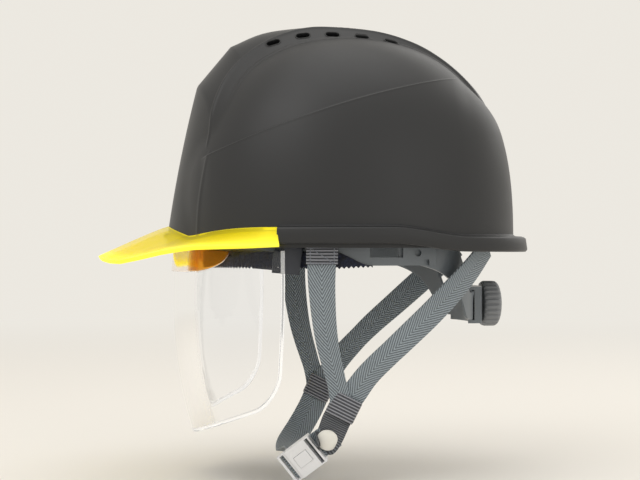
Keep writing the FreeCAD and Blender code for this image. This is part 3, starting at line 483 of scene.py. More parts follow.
def front_reach(d):
    """The proud front panel: a leaning, gently curved wall across the forehead."""
    a = np.maximum(d[..., 0] ** 2 / (2 * FRONT_RADIUS) + FRONT_BULGE * d[..., 2] ** 2, 1e-7)
    b = FRONT_LEAN * d[..., 2] - d[..., 1]
    reach = (-b + np.sqrt(b * b + 4 * a * FRONT_REACH)) / (2 * a)
    reach = np.where(b > 0.05, reach, 1.0)
    past = np.abs(d[..., 0]) * reach - FRONT_SIDE
    return reach - FRONT_STEP * smoothstep(0, FRONT_FADE, past) - FAR * (past > FRONT_FADE)


def ridge_tables():
    """The ridge's middle and edge against the angle up from the front; its first two stretches are flat."""
    top = np.array(RIDGE_TOP)
    flats = [np.linspace(top[k], top[k + 1], 60)[:-1] for k in (0, 1)]
    curve = np.vstack([*flats, spline(top[2:], 400)])
    top_angle = np.arctan2(curve[:, 1], -curve[:, 0])
    top_reach = np.hypot(curve[:, 0], curve[:, 1])
    edge = spline(np.array(RIDGE_EDGE), 400)
    edge_angle = np.arctan2(edge[:, 2], -edge[:, 1])
    edge_reach = np.hypot(edge[:, 1], edge[:, 2])
    return top_angle, top_reach, edge_angle, edge[:, 0], edge_reach


RIDGE = ridge_tables()
WALL_SLOPE = 1.05
RIDGE_FOOT = 26.0


def ridge_reach(d):
    """The raised centre ridge with its sloping side walls."""
    top_angle, top_reach, edge_angle, edge_x, edge_reach = RIDGE
    angle = np.arctan2(d[..., 2], -d[..., 1])
    side = np.abs(d[..., 0])
    flat = np.maximum(np.hypot(d[..., 1], d[..., 2]), 1e-6)
    middle = np.interp(angle, top_angle, top_reach)
    edge = np.interp(angle, edge_angle, edge_x)
    reach = np.interp(angle, edge_angle, edge_reach)
    r = middle.copy()
    for _ in range(12):
        share = np.minimum(r * side / edge, 1)
        r = 0.5 * r + 0.5 * (middle - (middle - reach) * share**2) / flat
    wall = (reach + WALL_SLOPE * edge) / (flat + WALL_SLOPE * side)
    r = np.minimum(r, wall)
    r = np.where(r * side > edge + RIDGE_FOOT, 1.0, r)
    r = np.where(angle < edge_angle[-1] + 0.05, r, 1.0)
    front = front_reach(d)
    above = angle > edge_angle[0]
    limit = np.where((d[..., 1] < -0.3) & (front > 60), front, FAR)
    return np.where(above, smooth_min(r, limit, 0.9), 1.0), above


def plain_wall(d):
    """The dome with its front panel, without the ridge."""
    return smooth_max(dome_reach(d), front_reach(d), 0.8)


def crease_height(y):
    """The height of the long crease on the shell's side."""
    back = y - 2.2
    return 102 + 0.30 * back - 0.0007 * back**2


def bead(distance, width):
    """1 on a line, falling away on both sides of it."""
    return np.exp(-((distance / width) ** 2))


CREASE_STEP = 1.25
CREASE_FADE = 26.0
PANEL_BEAD = 0.4
CREASE_BEAD = 0.45
RIDGE_BEAD = 0.6
FOOT_BEAD = 0.5


def shell_points(d):
    """The outer skin along unit directions d, in mm, with its crease and raised lines."""
    ridge, above = ridge_reach(d)
    skin = np.where(above, smooth_max(dome_reach(d), ridge, 0.8), plain_wall(d))
    points = d * skin[..., None]
    x, y, z = np.abs(points[..., 0]), points[..., 1], points[..., 2]
    below = crease_height(y) - z
    side = smoothstep(40, 50, x) * smoothstep(-104, -96, y) + smoothstep(28, 40, x) * smoothstep(0, 30, y)
    side = np.clip(side, 0, 1) * (1 - smoothstep(70, 84, y))
    proud = CREASE_STEP * smoothstep(-0.7, 0.7, below) * np.exp(-np.maximum(below, 0) / CREASE_FADE) * side
    proud += CREASE_BEAD * bead(below, 0.7) * side
    proud += PANEL_BEAD * bead(x - FRONT_SIDE, 1.3) * smoothstep(-90, -100, y) * smoothstep(72, 60, z)
    edge_angle, edge_x = RIDGE[2:4]
    angle = np.arctan2(z, -y)
    past_point = angle - edge_angle[0]
    on_ridge = smoothstep(0, 0.05, past_point) * smoothstep(2.35, 2.2, angle)
    on_foot = on_ridge * smoothstep(0.22, 0.4, past_point) * (x > 20)
    proud += RIDGE_BEAD * bead(x - np.interp(angle, edge_angle, edge_x), 0.8) * on_ridge
    proud += FOOT_BEAD * bead(ridge - dome_reach(d), 0.45) * on_foot
    return points + d * proud[..., None]


VENT_ROWS = 5
VENT_PITCH = 21.0
VENT_FIRST = -51.5
VENT_X = 27.5
VENT_LENGTH = 9.8
VENT_HEIGHT = 5.0


def vent_frames():
    """Centre, along, up and out for every slot, both sides."""
    frames = []
    for side in (1, -1):
        for row in range(VENT_ROWS):
            y = VENT_FIRST + VENT_PITCH * row
            heights = np.linspace(135, 158, 600)
            trial = np.stack([np.full(600, side * VENT_X), np.full(600, y), heights], axis=1)
            skin = np.linalg.norm(shell_points(unit(trial)), axis=1)
            centre = trial[np.argmin(np.abs(skin - np.linalg.norm(trial, axis=1)))]
            here = []
            for dx, dy in ((-1.2, 0), (1.2, 0), (0, -4), (0, 4)):
                here.append(shell_points(unit((centre + (dx, dy, 0))[None]))[0])
            up = unit((here[0] - here[1]) * side)
            along = unit(here[3] - here[2])
            out = unit(np.cross(up, along)) * side
            if out[2] < 0:
                out = -out
            up = unit(np.cross(out, along))
            frames.append((centre, along, up, out))
    return frames


VENTS = vent_frames()


def slot_distance(points, centre, along, up):
    """Signed distance to a slot's outline in its own plane."""
    u = (points - centre) @ along
    v = (points - centre) @ up
    run = (VENT_LENGTH - VENT_HEIGHT) / 2
    return np.hypot(np.maximum(np.abs(u) - run, 0), v) - VENT_HEIGHT / 2


def direction_grid(columns, rows, top):
    """Unit directions all round, from just above the rim up to top, in degrees."""
    turn = np.linspace(0, 2 * math.pi, columns, endpoint=False)[None]
    lift = np.radians(np.linspace(1.2, top, rows))[:, None]
    up = np.broadcast_to(np.sin(lift), (rows, columns))
    return np.stack([np.cos(lift) * np.sin(turn), -np.cos(lift) * np.cos(turn), up], axis=-1)


def make_shell():
    """The outer skin with its slots and the plain inside, each closed at the crown."""
    columns, rows = 900, 420
    outer = shell_points(direction_grid(columns, rows, 89.85))
    for centre, along, up, out in VENTS:
        near = (np.linalg.norm(outer - centre, axis=-1) < 9) & ((outer - centre) @ out < 4)
        push = smoothstep(0.25, -0.25, slot_distance(outer, centre, along, up)) * near
        outer = outer - out * (6.0 * push)[..., None]
    points = outer.reshape(-1, 3)
    faces = grid_faces(rows, columns, wrap_columns=True) + [last_ring(rows, columns)]
    columns, rows = 180, 70
    within = direction_grid(columns, rows, 88)
    inner = (within * (dome_reach(within) - WALL)[..., None]).reshape(-1, 3)
    inner_faces = grid_faces(rows, columns, wrap_columns=True, flip=True) + [last_ring(rows, columns)[::-1]]
    faces += [[corner + len(points) for corner in face] for face in inner_faces]
    add_mesh("shell_skin", np.vstack([points, inner]), faces, black_shell, "hat", ("shell",))


def wall_at(turn, height):
    """Points on the wall at angles round from the front and at given heights."""
    turn = np.asarray(turn, float)
    height = np.broadcast_to(height, turn.shape)
    reach = np.full(turn.shape, 120.0)
    for _ in range(8):
        lift = np.arctan2(np.maximum(height, 0.01), reach)
        d = np.stack([np.cos(lift) * np.sin(turn), -np.cos(lift) * np.cos(turn), np.sin(lift)], axis=-1)
        reach = plain_wall(d) * np.cos(lift)
    return np.stack([reach * np.sin(turn), -reach * np.cos(turn), height], axis=-1)


def level_normals(points):
    """Level outward normals along a path that runs round the hat."""
    along = unit(np.gradient(points, axis=0) * (1, 1, 0))
    return np.stack([along[:, 1], -along[:, 0], np.zeros(len(points))], axis=1)


def turn_of_joint():
    """The angle from the front at which the peak's band meets the rim band."""
    turns = np.linspace(0.5, 2.5, 800)
    return turns[np.argmin(np.abs(wall_at(turns, 8.0)[:, 1] - JOINT_Y))]


JOINT_TURN = turn_of_joint()


def make_rim():
    """The flared band round the lower edge, from one end of the peak round the back to the other."""
    turn = np.linspace(JOINT_TURN + 0.004, 2 * math.pi - JOINT_TURN - 0.004, 420)
    path = wall_at(turn, 0.5)
    out = level_normals(path)
    y = path[:, 1]
    drop = smoothstep(20, 75, y)
    rear = smoothstep(60, 125, y)
    low = 5.0 - 5.5 * drop
    high = 16.0 - 6.2 * drop
    reach = FLARE + 4.5 * rear
    lower = path * (1, 1, 0)
    sections = []
    for k in range(len(path)):
        r, a, b = reach[k], low[k], high[k]
        sections.append(
            [
                (-WALL, a + 0.6),
                (-WALL + 0.6, a),
                (r - 1.4, a - 0.6 * rear[k]),
                (r - 0.5, a + 0.2),
                (r, a + 1.2),
                (r - 0.5 - 0.6 * rear[k], b - 1.6),
                (r - 0.9 - 1.6 * rear[k], b - 0.5),
                (r - 1.7 - 2.6 * rear[k], b),
                (1.6, b + 0.25),
                (0.4, b + 0.9),
                (-0.4, b + 2.2),
                (-WALL, b + 2.2),
            ]
        )
    sweep("shell_rim", lower, out, upright(len(path)), np.array(sections), black_shell, "hat", slot="shell")


def make_vent_sleeves():
    """A thin collar that lines each slot."""
    turn = np.linspace(0, 2 * math.pi, 48, endpoint=False)
    half = VENT_HEIGHT / 2
    u = np.cos(turn) * half + np.sign(np.cos(turn)) * (VENT_LENGTH / 2 - half)
    v = np.sin(turn) * half
    profile = [(0.75, -1.0), (0.75, 0.1), (0.45, 0.32), (0.1, 0.3), (-0.1, 0.0), (-0.1, -5.0), (0.5, -5.0)]
    for index, (centre, along, up, out) in enumerate(VENTS):
        path = centre + u[:, None] * along + v[:, None] * up
        edge = unit(np.cos(turn)[:, None] * along + np.sin(turn)[:, None] * up)
        outs = np.tile(out, (len(turn), 1))
        name = f"vent_sleeve_{index}"
        sweep(name, path, edge, outs, profile, black_shell, "hat", closed=True, slot="shell")


# ---- peak


PEAK_THICKNESS = 2.8


def make_peak():
    """The peak and its side bands as one closed sheet."""
    half_width = VISOR_HIGH[0]
    reach = JOINT_Y - VISOR_LOW[1]
    edge_y = np.array([VISOR_LOW[1], -171.0, -166.0, -159.0, -145.0, -132.0, -120.0, -110.0, -92.0, JOINT_Y])
    edge_z = np.array([-4.0, -5.2, -6.4, -6.6, -3.4, -0.2, 2.0, 3.2, 3.4, 3.2])
    columns, rows = 361, 26
    turn = np.linspace(-JOINT_TURN, JOINT_TURN, columns)
    wall = wall_at(turn, 10.0)
    x = np.abs(wall[:, 0])
    notch = 42.0
    root_z = np.where(
        x < notch,
        10.2 + 6.8 * (1 - (x / notch) ** 1.6),
        10.2 + 5.6 * smoothstep(notch, 92, x) ** 0.8,
    )
    root = wall_at(turn, root_z)
    out = level_normals(root)
    sweep_turn = np.linspace(-math.pi / 2, math.pi / 2, 721)
    plan = np.stack([half_width * np.sin(sweep_turn), JOINT_Y - reach * np.cos(sweep_turn)], axis=1)
    along = run_along(plan)
    root_run = run_along(root[:, :2])
    wanted = root_run * along[-1] / root_run[-1]
    edge = np.stack([np.interp(wanted, along, plan[:, k]) for k in (0, 1)], axis=1)
    edge = np.column_stack([edge, np.interp(edge[:, 1], edge_y, edge_z)])
    width = np.linalg.norm((edge - root)[:, :2], axis=1)
    ledge = np.minimum(width * 0.9, FLARE)
    bend = root + out * ledge[:, None]
    bend[:, 2] = root[:, 2] + np.where(width > 12, -0.12 * ledge, 0.1)
    s = np.linspace(0, 1, rows)[:, None, None]
    top = (1 - s) ** 2 * (root + out * 0.2)[None] + 2 * s * (1 - s) * bend[None] + s**2 * edge[None]
    # The side bands stand nearly upright, so a normal's side is chosen from both its rise and its lean.
    du = np.gradient(top, axis=1)
    dv = np.gradient(top, axis=0)
    normal = unit(np.cross(dv, du))
    normal *= np.sign(normal[..., 2:3] + 1e-9 + (normal * out[None]).sum(-1, keepdims=True) * 0.5)
    bottom = top - normal * PEAK_THICKNESS
    points = np.vstack([top.reshape(-1, 3), bottom.reshape(-1, 3)])
    # Painted glow: brightness is high along the outer edge and near the root and lower (0.8) on the under face,
    # standing in for light gathered in the fluorescent plastic.
    depth = np.maximum(width[None], 10)
    painted_edge_glow = np.exp(-np.maximum((1 - s[..., 0]) * depth - 0.5, 0) / 3.0)
    painted_root_glow = 0.55 * np.exp(-s[..., 0] * depth / 2.2)
    glow = np.clip(painted_edge_glow + painted_root_glow, 0, 1).reshape(-1)
    painted_glow = ("glow", np.concatenate([glow, glow * 0.8]))
    faces = peak_faces(rows, columns)
    piece = add_mesh("peak", points, faces, peak_yellow, "hat", ("visor",), attribute=painted_glow)
    soften(piece, 0.6)


def peak_faces(rows, columns):
    """The peak's upper and lower faces, then the walls along its edges and at its two ends."""
    count = rows * columns
    faces = grid_faces(rows, columns)
    faces += [[corner + count for corner in face] for face in grid_faces(rows, columns, flip=True)]
    walls = [(r * columns + c, 1, r) for c in range(columns - 1) for r in (0, rows - 1)]
    walls += [(r * columns + c, columns, c) for r in range(rows - 1) for c in (0, columns - 1)]
    for a, step, far_side in walls:
        b = a + step
        quad = [a, b, b + count, a + count]
        faces.append(quad if far_side else quad[::-1])
    return faces


def soften(piece, width, angle=40):
    """Rounds a piece's hard edges."""
    bevel = piece.modifiers.new("bevel", "BEVEL")
    bevel.width = width * MM
    bevel.segments = 3
    bevel.limit_method = "ANGLE"
    bevel.angle_limit = math.radians(angle)
    bevel.harden_normals = False
    bevel.use_clamp_overlap = True


# ---- shield

AXIS_Y, AXIS_Z = np.array(JOINTS["shield_slide"]["pos_m"])[1:] / MM
LENS_HIGH = box_mm("shield_lens")[1]
MAJOR = 228.0
BEND = 84.5
LENS_THICKNESS = 1.5


def torus_point(u, drop, offset=0.0):
    """A point on the shield: u is its distance round from the middle in mm, drop its angle below the axis."""
    around = u / BEND
    minor = BEND + offset
    radius = MAJOR + minor * np.cos(around)
    x = minor * np.sin(around)
    return np.stack([x, AXIS_Y - radius * np.cos(drop), AXIS_Z - radius * np.sin(drop)], axis=-1)


TOP_DROP = math.radians(-8.5)
LOW_DROP = math.radians(17.3)
LENS_HALF = 119.0
CORNER_U = 19.0
CORNER_DROP = math.radians(4.6)
EDGE_RISE = 0.0215
EDGE_FLAT = 15.0
GRIP_HALF = 78.0
GRIP_DROP = math.radians(-7.3)
GRIP_DEPTH = math.radians(3.4)


def lens_half(drop):
    """The lens's half-width round its bend at a given drop, with round lower corners."""
    start = LOW_DROP - CORNER_DROP
    t = np.clip((drop - start) / CORNER_DROP, 0, 1)
    return LENS_HALF - CORNER_U * (1 - np.sqrt(np.maximum(1 - t**2, 0)))


def side_trim(drop):
    """Keeps the side edges upright at the lens's rear line."""
    u = np.full(np.shape(drop), LENS_HALF)
    for _ in range(25):
        u = np.clip(u - (torus_point(u, drop)[..., 1] - LENS_HIGH[1]) * 0.6, 60, 130)
    return u


def add_sheet(name, outer, inner, material, body, replaces):
    """A closed sheet between two grids of points."""
    points = np.vstack([outer.reshape(-1, 3), inner.reshape(-1, 3)])
    return add_mesh(name, points, sheet_faces(*outer.shape[:2]), material, body, replaces)


def make_lens():
    """The clear shield, and the bright bead round its sides and lower edge."""
    t = np.linspace(0, 1, 120)
    drop = TOP_DROP + (LOW_DROP - TOP_DROP) * (1 - (1 - t) ** 1.6)
    half = lens_half(drop) - LENS_HALF + side_trim(drop)
    u = half[:, None] * np.linspace(-1, 1, 161)[None]
    rise = np.radians(EDGE_RISE * (np.sqrt(u**2 + EDGE_FLAT**2) - EDGE_FLAT))
    d = drop[:, None] - rise * smoothstep(TOP_DROP, LOW_DROP, drop)[:, None]
    outer = torus_point(u, d)
    inner = torus_point(u, d, -LENS_THICKNESS)
    add_sheet("shield_lens_clear", outer, inner, shield_clear, "shield", ("shield_lens",))
    edge = spaced(np.concatenate([outer[:, -1], outer[-1, ::-1][1:], outer[::-1, 0][1:]]), 400)
    across, out = path_frames(edge, unit(edge * (1, 1, 0) + (0, 36, 0)))
    section = rounded_section(2.8, 2.2, 1.0) + (-1.2, -0.3)
    sweep("shield_bead", edge, across, out, section, bead_clear, "shield", slot="shield_lens")


def make_grip():
    """The crescent-shaped tinted grip on the lens's upper front."""
    share = np.linspace(-1, 1, 121)
    depth = GRIP_DEPTH * np.sqrt(np.maximum(1 - share**4, 0.02))
    drop = GRIP_DROP + depth[None] * np.linspace(0, 1, 14)[:, None]
    u = np.broadcast_to(share[None] * GRIP_HALF, drop.shape)
    outer = torus_point(u, drop, 2.0)
    inner = torus_point(u, drop, 0.1)
    add_sheet("shield_grip_crescent", outer, inner, grip_amber, "shield", ("shield_grip",))


# ---- soft goods

BAND_LOW, BAND_HIGH = box_mm("headband")
BAND_HALF = BAND_HIGH[0]
BAND_LENGTH = (BAND_HIGH[1] - BAND_LOW[1]) / 2
BAND_MIDDLE = (BAND_HIGH[1] + BAND_LOW[1]) / 2


def oval(turn, inset):
    """Points on the headband's oval, drawn in by inset; turn is 0 at the front."""
    x = (BAND_HALF - inset) * np.sin(turn)
    y = BAND_MIDDLE - (BAND_LENGTH - inset) * np.cos(turn)
    return np.stack([x, y, np.zeros_like(turn)], axis=-1)


def pillow_ring(thick, low, high, count):
    """A soft flattened loop from low to high, as (out, up) pairs."""
    turn = np.linspace(0, 2 * math.pi, count, endpoint=False)
    c, s = np.cos(turn), np.sin(turn)
    half = max((high - low) / 2, 0.3)
    out = thick * np.sign(c) * np.abs(c) ** 0.7
    return np.stack([out, (high + low) / 2 + half * np.sign(s) * np.abs(s) ** 0.55], axis=1)


def zigzag(turn, pitch):
    """0 to 1 and back once a pitch round the band."""
    return np.abs((turn * BAND_LENGTH / pitch) % 1 - 0.5) * 2


def make_sweatband():
    """Foam under knitted mesh, with a wavy cut lower edge that tapers at the ends."""
    low, high = box_mm("sweatband")
    columns = 900
    end = math.radians(90)
    turn = np.linspace(-end, end, columns)
    path = oval(turn, 3.9)
    run = np.abs(turn) / end
    taper = smoothstep(0.62, 1.0, run)
    bottom = low[2] - 1.0 + 2.2 * zigzag(turn, 5.0) * (1 - 0.5 * taper) + 5.0 * taper**2
    top = high[2] - 22.0 * taper
    puff = 1 + 0.12 * np.sin(turn * 47) + 0.06 * rng.normal(size=columns).cumsum() / 12
    thick = 1.9 * np.minimum(puff, 1.15) * (1 - 0.55 * taper)
    sections = np.array([pillow_ring(thick[k], bottom[k], top[k], 20) for k in range(columns)])
    out, up = level_normals(path), upright(columns)
    sweep("sweatband_padded", path, out, up, sections, sweat_fabric, "hat", replaces=("sweatband",))


def make_sweat_flap():
    """The knit where it wraps over the headband's lower edge and tapers to a point on each side."""
    bottom = box_mm("sweatband")[0][2]
    columns = 800
    end = math.radians(92.5)
    turn = np.linspace(-end, end, columns)
    path = oval(turn, -0.75)
    taper = smoothstep(0.84, 1.0, np.abs(turn) / end)
    bottom = bottom - 1.4 + 1.6 * zigzag(turn, 3.2) + 1.0 * taper
    top = -0.5 - 9.5 * taper
    sections = np.array([pillow_ring(0.7, bottom[k], top[k], 16) for k in range(columns)])
    out, up = level_normals(path), upright(columns)
    sweep("sweatband_flap", path, out, up, sections, sweat_fabric, "hat", slot="sweatband")


def make_nape_bands():
    """The two bands that run from the headband down to the adjuster, each with its rack tail."""
    centre_y, adjuster = np.array(JOINTS["nape_left_slide"]["pos_m"])[1:] / MM
    radius = box_mm("nape_strap_left")[1][1] - centre_y
    near, far = 6.6, 9.8
    turns = np.radians([84.0, 66.4, 56.1, 47.6, 41.0, 36.5, 32.0, 26.5, 24.5, 10.0, -9.0])
    scale = 60.0
    for side, word in ((1, "left"), (-1, "right")):
        tail_low, tail_high = sorted((adjuster + side * near, adjuster + side * far))
        lower = [-6.5, -11.8, -17.0, -25.0, -36.0, -46.0, -48.6, adjuster - far] + [tail_low] * 3
        upper = [8.0, 9.0, 8.0, 3.0, -8.0, -19.0, -29.0, adjuster + far] + [tail_high] * 3
        turn, bottom, top = spline(np.column_stack([turns * scale, lower, upper]), 180).T
        turn = turn / scale
        bottom = np.maximum(bottom, adjuster - far)
        top = np.where(turn < turns[6], np.minimum(top, adjuster + far), top)
        share = np.linspace(0, 1, 14)[:, None]
        heights = bottom[None] * (1 - share) + top[None] * share
        layers = []
        for r in (radius, radius - 1.6):
            x = np.broadcast_to(side * r * np.sin(turn), heights.shape)
            y = np.broadcast_to(centre_y + r * np.cos(turn), heights.shape)
            layers.append(np.stack([x, y, heights], axis=-1).reshape(-1, 3))
        faces = sheet_faces(*heights.shape, flip=side > 0)
        band, node_name = f"nape_band_{word}", f"nape_strap_{word}"
        piece = add_mesh(band, np.vstack(layers), faces, band_grey, f"nape_{word}", (node_name,))
        soften(piece, 0.4)


def make_crown_pad():
    """A quilted round pad that hangs under the crown straps."""
    low, high = box_mm("crown_pad")
    radius = (high[0] - low[0]) / 2
    centre_y = (high[1] + low[1]) / 2
    rings, columns = 40, 120
    turn = np.linspace(0, 2 * math.pi, columns, endpoint=False)
    points = []
    for face in (1, -1):
        for ring in range(rings):
            share = (ring + 0.5) / rings if face > 0 else (rings - ring - 0.5) / rings
            r = radius * share
            sag = high[2] - 2.5 - (r / radius) ** 2 * (high[2] - low[2] - 5.0)
            quilt = 0.25 + 0.75 * np.abs(np.sin(turn * 4)) ** 0.5 * (1 if share > 0.35 else share / 0.35)
            puff = 2.4 * math.sqrt(max(1 - share**5, 0)) * quilt
            x, y = r * np.cos(turn), centre_y + r * np.sin(turn)
            points.append(np.stack([x, y, sag + face * puff], axis=1))
    points = np.vstack(points)
    rows = 2 * rings
    faces = grid_faces(rows, columns, wrap_columns=True)
    faces += [list(range(columns))[::-1], last_ring(rows, columns)]
    add_mesh("crown_pad_quilted", points, faces, sweat_fabric, "hat", ("crown_pad",))


def make_crown_straps():
    """Flat woven straps over the head, one fore and aft and one across."""
    count = 161
    for label, across_axis in (("crown_strap_long", 0), ("crown_strap_cross", 1)):
        low, high = box_mm(label)
        along_axis = 1 - across_axis
        reach = (high[along_axis] - low[along_axis]) / 2
        centre = (high + low) / 2
        start = math.asin(low[2] / high[2])
        turn = np.linspace(start, math.pi - start, count)
        path = np.zeros((count, 3))
        path[:, along_axis] = centre[along_axis] - reach * np.cos(turn) / math.cos(start)
        path[:, across_axis] = centre[across_axis]
        path[:, 2] = (high[2] - 0.6) * np.sin(turn)
        across, out = path_frames(path, unit(path - centre * (1, 1, 0)))
        section = rounded_section(high[across_axis] - low[across_axis], 1.2, 0.5)
        sweep(f"{label}_woven", path, across, out, section, webbing, "hat", replaces=(label,))


def strap(name, nodes, path, normals, count=120, width=20.0, material=webbing, narrow=None, slot=None):
    """Webbing along a smooth path with rough outward normals; narrow is its width at each point as a share."""
    dense = spline(path, count)
    rough = unit(spline(normals, count))
    across, out = path_frames(dense, rough)
    section = rounded_section(width, 1.6, 0.55)
    if narrow is not None:
        share = spline(np.array(narrow, float)[:, None], count)
        section = section[None] * np.stack([share, np.ones_like(share)], axis=2)
    sweep(name, dense, across, out, section, material, "hat", replaces=nodes, slot=slot)


def mirror(points, side):
    """Points on the wearer's left, or the same on the right for a side of -1."""
    return np.array([(side * x, y, z) for x, y, z in points], float)


KEEPER_LOW, KEEPER_HIGH = box_mm("keeper_left")
KEEPER = (KEEPER_LOW + KEEPER_HIGH) / 2
KEEPER_ALONG = np.array((0.0, -0.454, -0.891))


def place(node_name, side, fractions):
    """Points at fractions of a node's box, given for the left side and mirrored for the right."""
    return [inside(node_name, fx if side > 0 else 1 - fx, fy, fz) for fx, fy, fz in fractions]


FRONT_NORMALS = [(1, 0, 0.05), (1, 0, 0.15), (1, 0, 0.25), (1, 0, 0.12), (1, 0, 0.0)]
REAR_NORMALS = [(0.45, 0.85, 0), (0.6, 0.7, 0), (0.85, 0.5, 0.1), (0.97, 0.2, 0.1), (0.98, 0.1, 0.15)]
REAR_NORMALS += [(1, 0.3, 0.1), (1, 0, 0)]
FRONT_PLACES = [(0.96, 0.26, 1.0), (0.83, 0.27, 0.745), (0.5, 0.37, 0.44)]
REAR_PLACES = [(0.27, 0.945, 0.94), (0.56, 0.81, 0.79), (0.86, 0.6, 0.59), (0.97, 0.41, 0.42)]
REAR_PLACES.append((0.84, 0.225, 0.24))
FRONT_WIDTHS = (1, 1, 0.95, 0.66, 0.72)
REAR_WIDTHS = (1, 1, 1, 1, 0.95, 0.8, 0.9)


def make_side_webs():
    """The front and rear webbing on each side, with the front's stitched fold at the rim."""
    for side, word in ((1, "left"), (-1, "right")):
        keeper = KEEPER * (side, 1, 1)
        front, rear = f"web_front_{word}", f"web_rear_{word}"
        front_path = place(front, side, FRONT_PLACES)
        front_path += [keeper - KEEPER_ALONG * 13 + (side * 3.2, -10.0, 0), keeper + (side * 1.0, -2.6, 0)]
        strap(f"{front}_woven", (front,), front_path, mirror(FRONT_NORMALS, side), narrow=FRONT_WIDTHS)
        rear_path = place(rear, side, REAR_PLACES)
        rear_path += [keeper - KEEPER_ALONG * 11 + (side * 1.6, 2.0, 0), keeper + (-side * 1.2, 0, 0)]
        strap(f"{rear}_woven", (rear,), rear_path, mirror(REAR_NORMALS, side), count=160, narrow=REAR_WIDTHS)
        block = spline(front_path, 200)[:22]
        across, out = path_frames(block, np.tile((side, 0.0, 0.05), (len(block), 1)))
        section = rounded_section(21.2, 1.7, 0.7)
        sweep(f"web_fold_{word}", block + out * 1.5, across, out, section, ribbed_tape, "hat", slot=front)
        box_stitch(f"fold_stitch_{word}", block + out * 2.45, across, out, 16.0, front)


def box_stitch(name, path, across, out, width, slot):
    """A stitched rectangle with one diagonal, as short raised threads."""
    count = len(path)
    half = width / 2
    lines = [((0, -half), (count - 1, -half)), ((0, half), (count - 1, half))]
    lines += [((1, -half), (1, half)), ((count - 2, -half), (count - 2, half))]
    lines.append(((1, -half), (count - 2, half)))
    points, faces = [], []
    for (i0, w0), (i1, w1) in lines:
        start = path[i0] + across[i0] * w0
        end = path[i1] + across[i1] * w1
        steps = max(int(np.linalg.norm(end - start) / 2.1), 1)
        for k in range(steps):
            a = start + (end - start) * (k + 0.12) / steps
            b = start + (end - start) * (k + 0.82) / steps
            index = min(int(i0 + (i1 - i0) * (k + 0.5) / steps), count - 1)
            side = unit(np.cross(b - a, out[index])) * 0.32
            base = len(points)
            mid = (a + b) / 2 + out[index] * 0.38
            points += [a - side, a + side, mid + side, mid - side, b - side, b + side]
            faces += [[base, base + 1, base + 2, base + 3], [base + 3, base + 2, base + 5, base + 4]]
    add_mesh(name, np.array(points), faces, thread_grey, "hat", slot=slot)


def make_keepers():
    """A ribbed tape loop round the straps on each side."""
    for side, word in ((1, "left"), (-1, "right")):
        centre = KEEPER * (side, 1, 1)
        out = np.array((float(side), 0.0, 0.0))
        across = unit(np.cross(out, KEEPER_ALONG))
        ring = rounded_section(20.6, 8.6, 3.6, steps=8)
        height = 16.0
        rows = 24
        points, uv = [], []
        for face, inset in ((1, 0.0), (-1, 1.1)):
            for row in range(rows):
                share = row / (rows - 1) if face > 0 else 1 - row / (rows - 1)
                rounding = 0.35 * (2 * abs(share - 0.5)) ** 12
                scale = 1 - (inset + rounding * face) / np.array((10.3, 4.3))
                for a, b in ring * scale:
                    points.append(centre + KEEPER_ALONG * ((share - 0.5) * height) + across * a + out * b)
                    uv.append((share * height, a))
        faces = grid_faces(2 * rows, len(ring), wrap_rows=True, wrap_columns=True)
        add_mesh(f"keeper_loop_{word}", points, faces, ribbed_tape, "hat", (f"keeper_{word}",), uv=uv)


BUCKLE = inside("buckle_frame", 0.5, 0.5, 0.5)
SNAP = inside("snap_cap", 0.5, 0.5, 0.5)


def buckle_axes():
    """The buckle's axes along the strap and out, from the release tab's hinge, which lies across it."""
    across = unit(JOINTS["release_press"]["axis"])
    out = unit(np.cross(BUCKLE - SNAP, across))
    out = out if out[0] > 0 else -out
    along = unit(np.cross(across, out))
    return (along if along @ (BUCKLE - SNAP) > 0 else -along), out


def make_chin_webs():
    """The tab with the snap, its tail behind the snap, and the strap under the chin."""
    along, out = buckle_axes()
    snap = SNAP - out * 2.0
    frame_middle = BUCKLE + along * 2.5
    slot = frame_middle - along * 9.9
    tab_path = [
        KEEPER + KEEPER_ALONG * 1.0,
        KEEPER + KEEPER_ALONG * 10 + (-1.2, -0.4, 0),
        snap,
        slot - along * 2.2 + out * 0.6,
        slot + out * 0.2,
        slot - out * 3.2,
    ]
    tab_normals = [(1, 0, 0), (1, 0, -0.1), out, unit(out + along * 0.1), unit(out + along * 0.8), along]
    strap("chin_tab_woven", ("chin_tab",), tab_path, tab_normals, count=140, width=19.5, material=tab_tape)
    under = [snap - out * 2.4 - along * 4, snap - out * 2.6 + along * 6]
    under += [slot - out * 4.2 - along * 1.5, slot - out * 3.4 + along * 0.5]
    strap("chin_tab_tail", (), under, [out] * 4, count=40, width=19.0, slot="chin_tab")
    loop = frame_middle + along * 11.4
    far_keeper = KEEPER * (-1, 1, 1)
    path = [
        loop + out * 1.2,
        loop - out * 3.5,
        loop - out * 8.5 + along * 0.3,
        np.array((38.0, loop[1] + 4.4, loop[2] + 2.0)),
        np.array((18.0, loop[1] + 6.8, loop[2] + 4.2)),
        np.array((-10.0, -36.0, -146.0)),
        np.array((-38.0, -33.0, -143.5)),
        np.array((-56.0, -24.0, -135.0)),
        np.array((-64.5, -15.0, -122.0)),
        far_keeper + KEEPER_ALONG * 2,
    ]
    normals = [
        along,
        along,
        along * 0.9 - out * 0.3,
        (0.2, -0.15, -1),
        (0.12, 0, -1),
        (0, 0, -1),
        (-0.3, -0.1, -1),
        (-0.8, -0.2, -0.6),
        (-1, -0.1, -0.3),
        (-1, 0, 0),
    ]
    strap("chin_strap_woven", ("chin_strap",), path, normals, count=260, width=19.5)


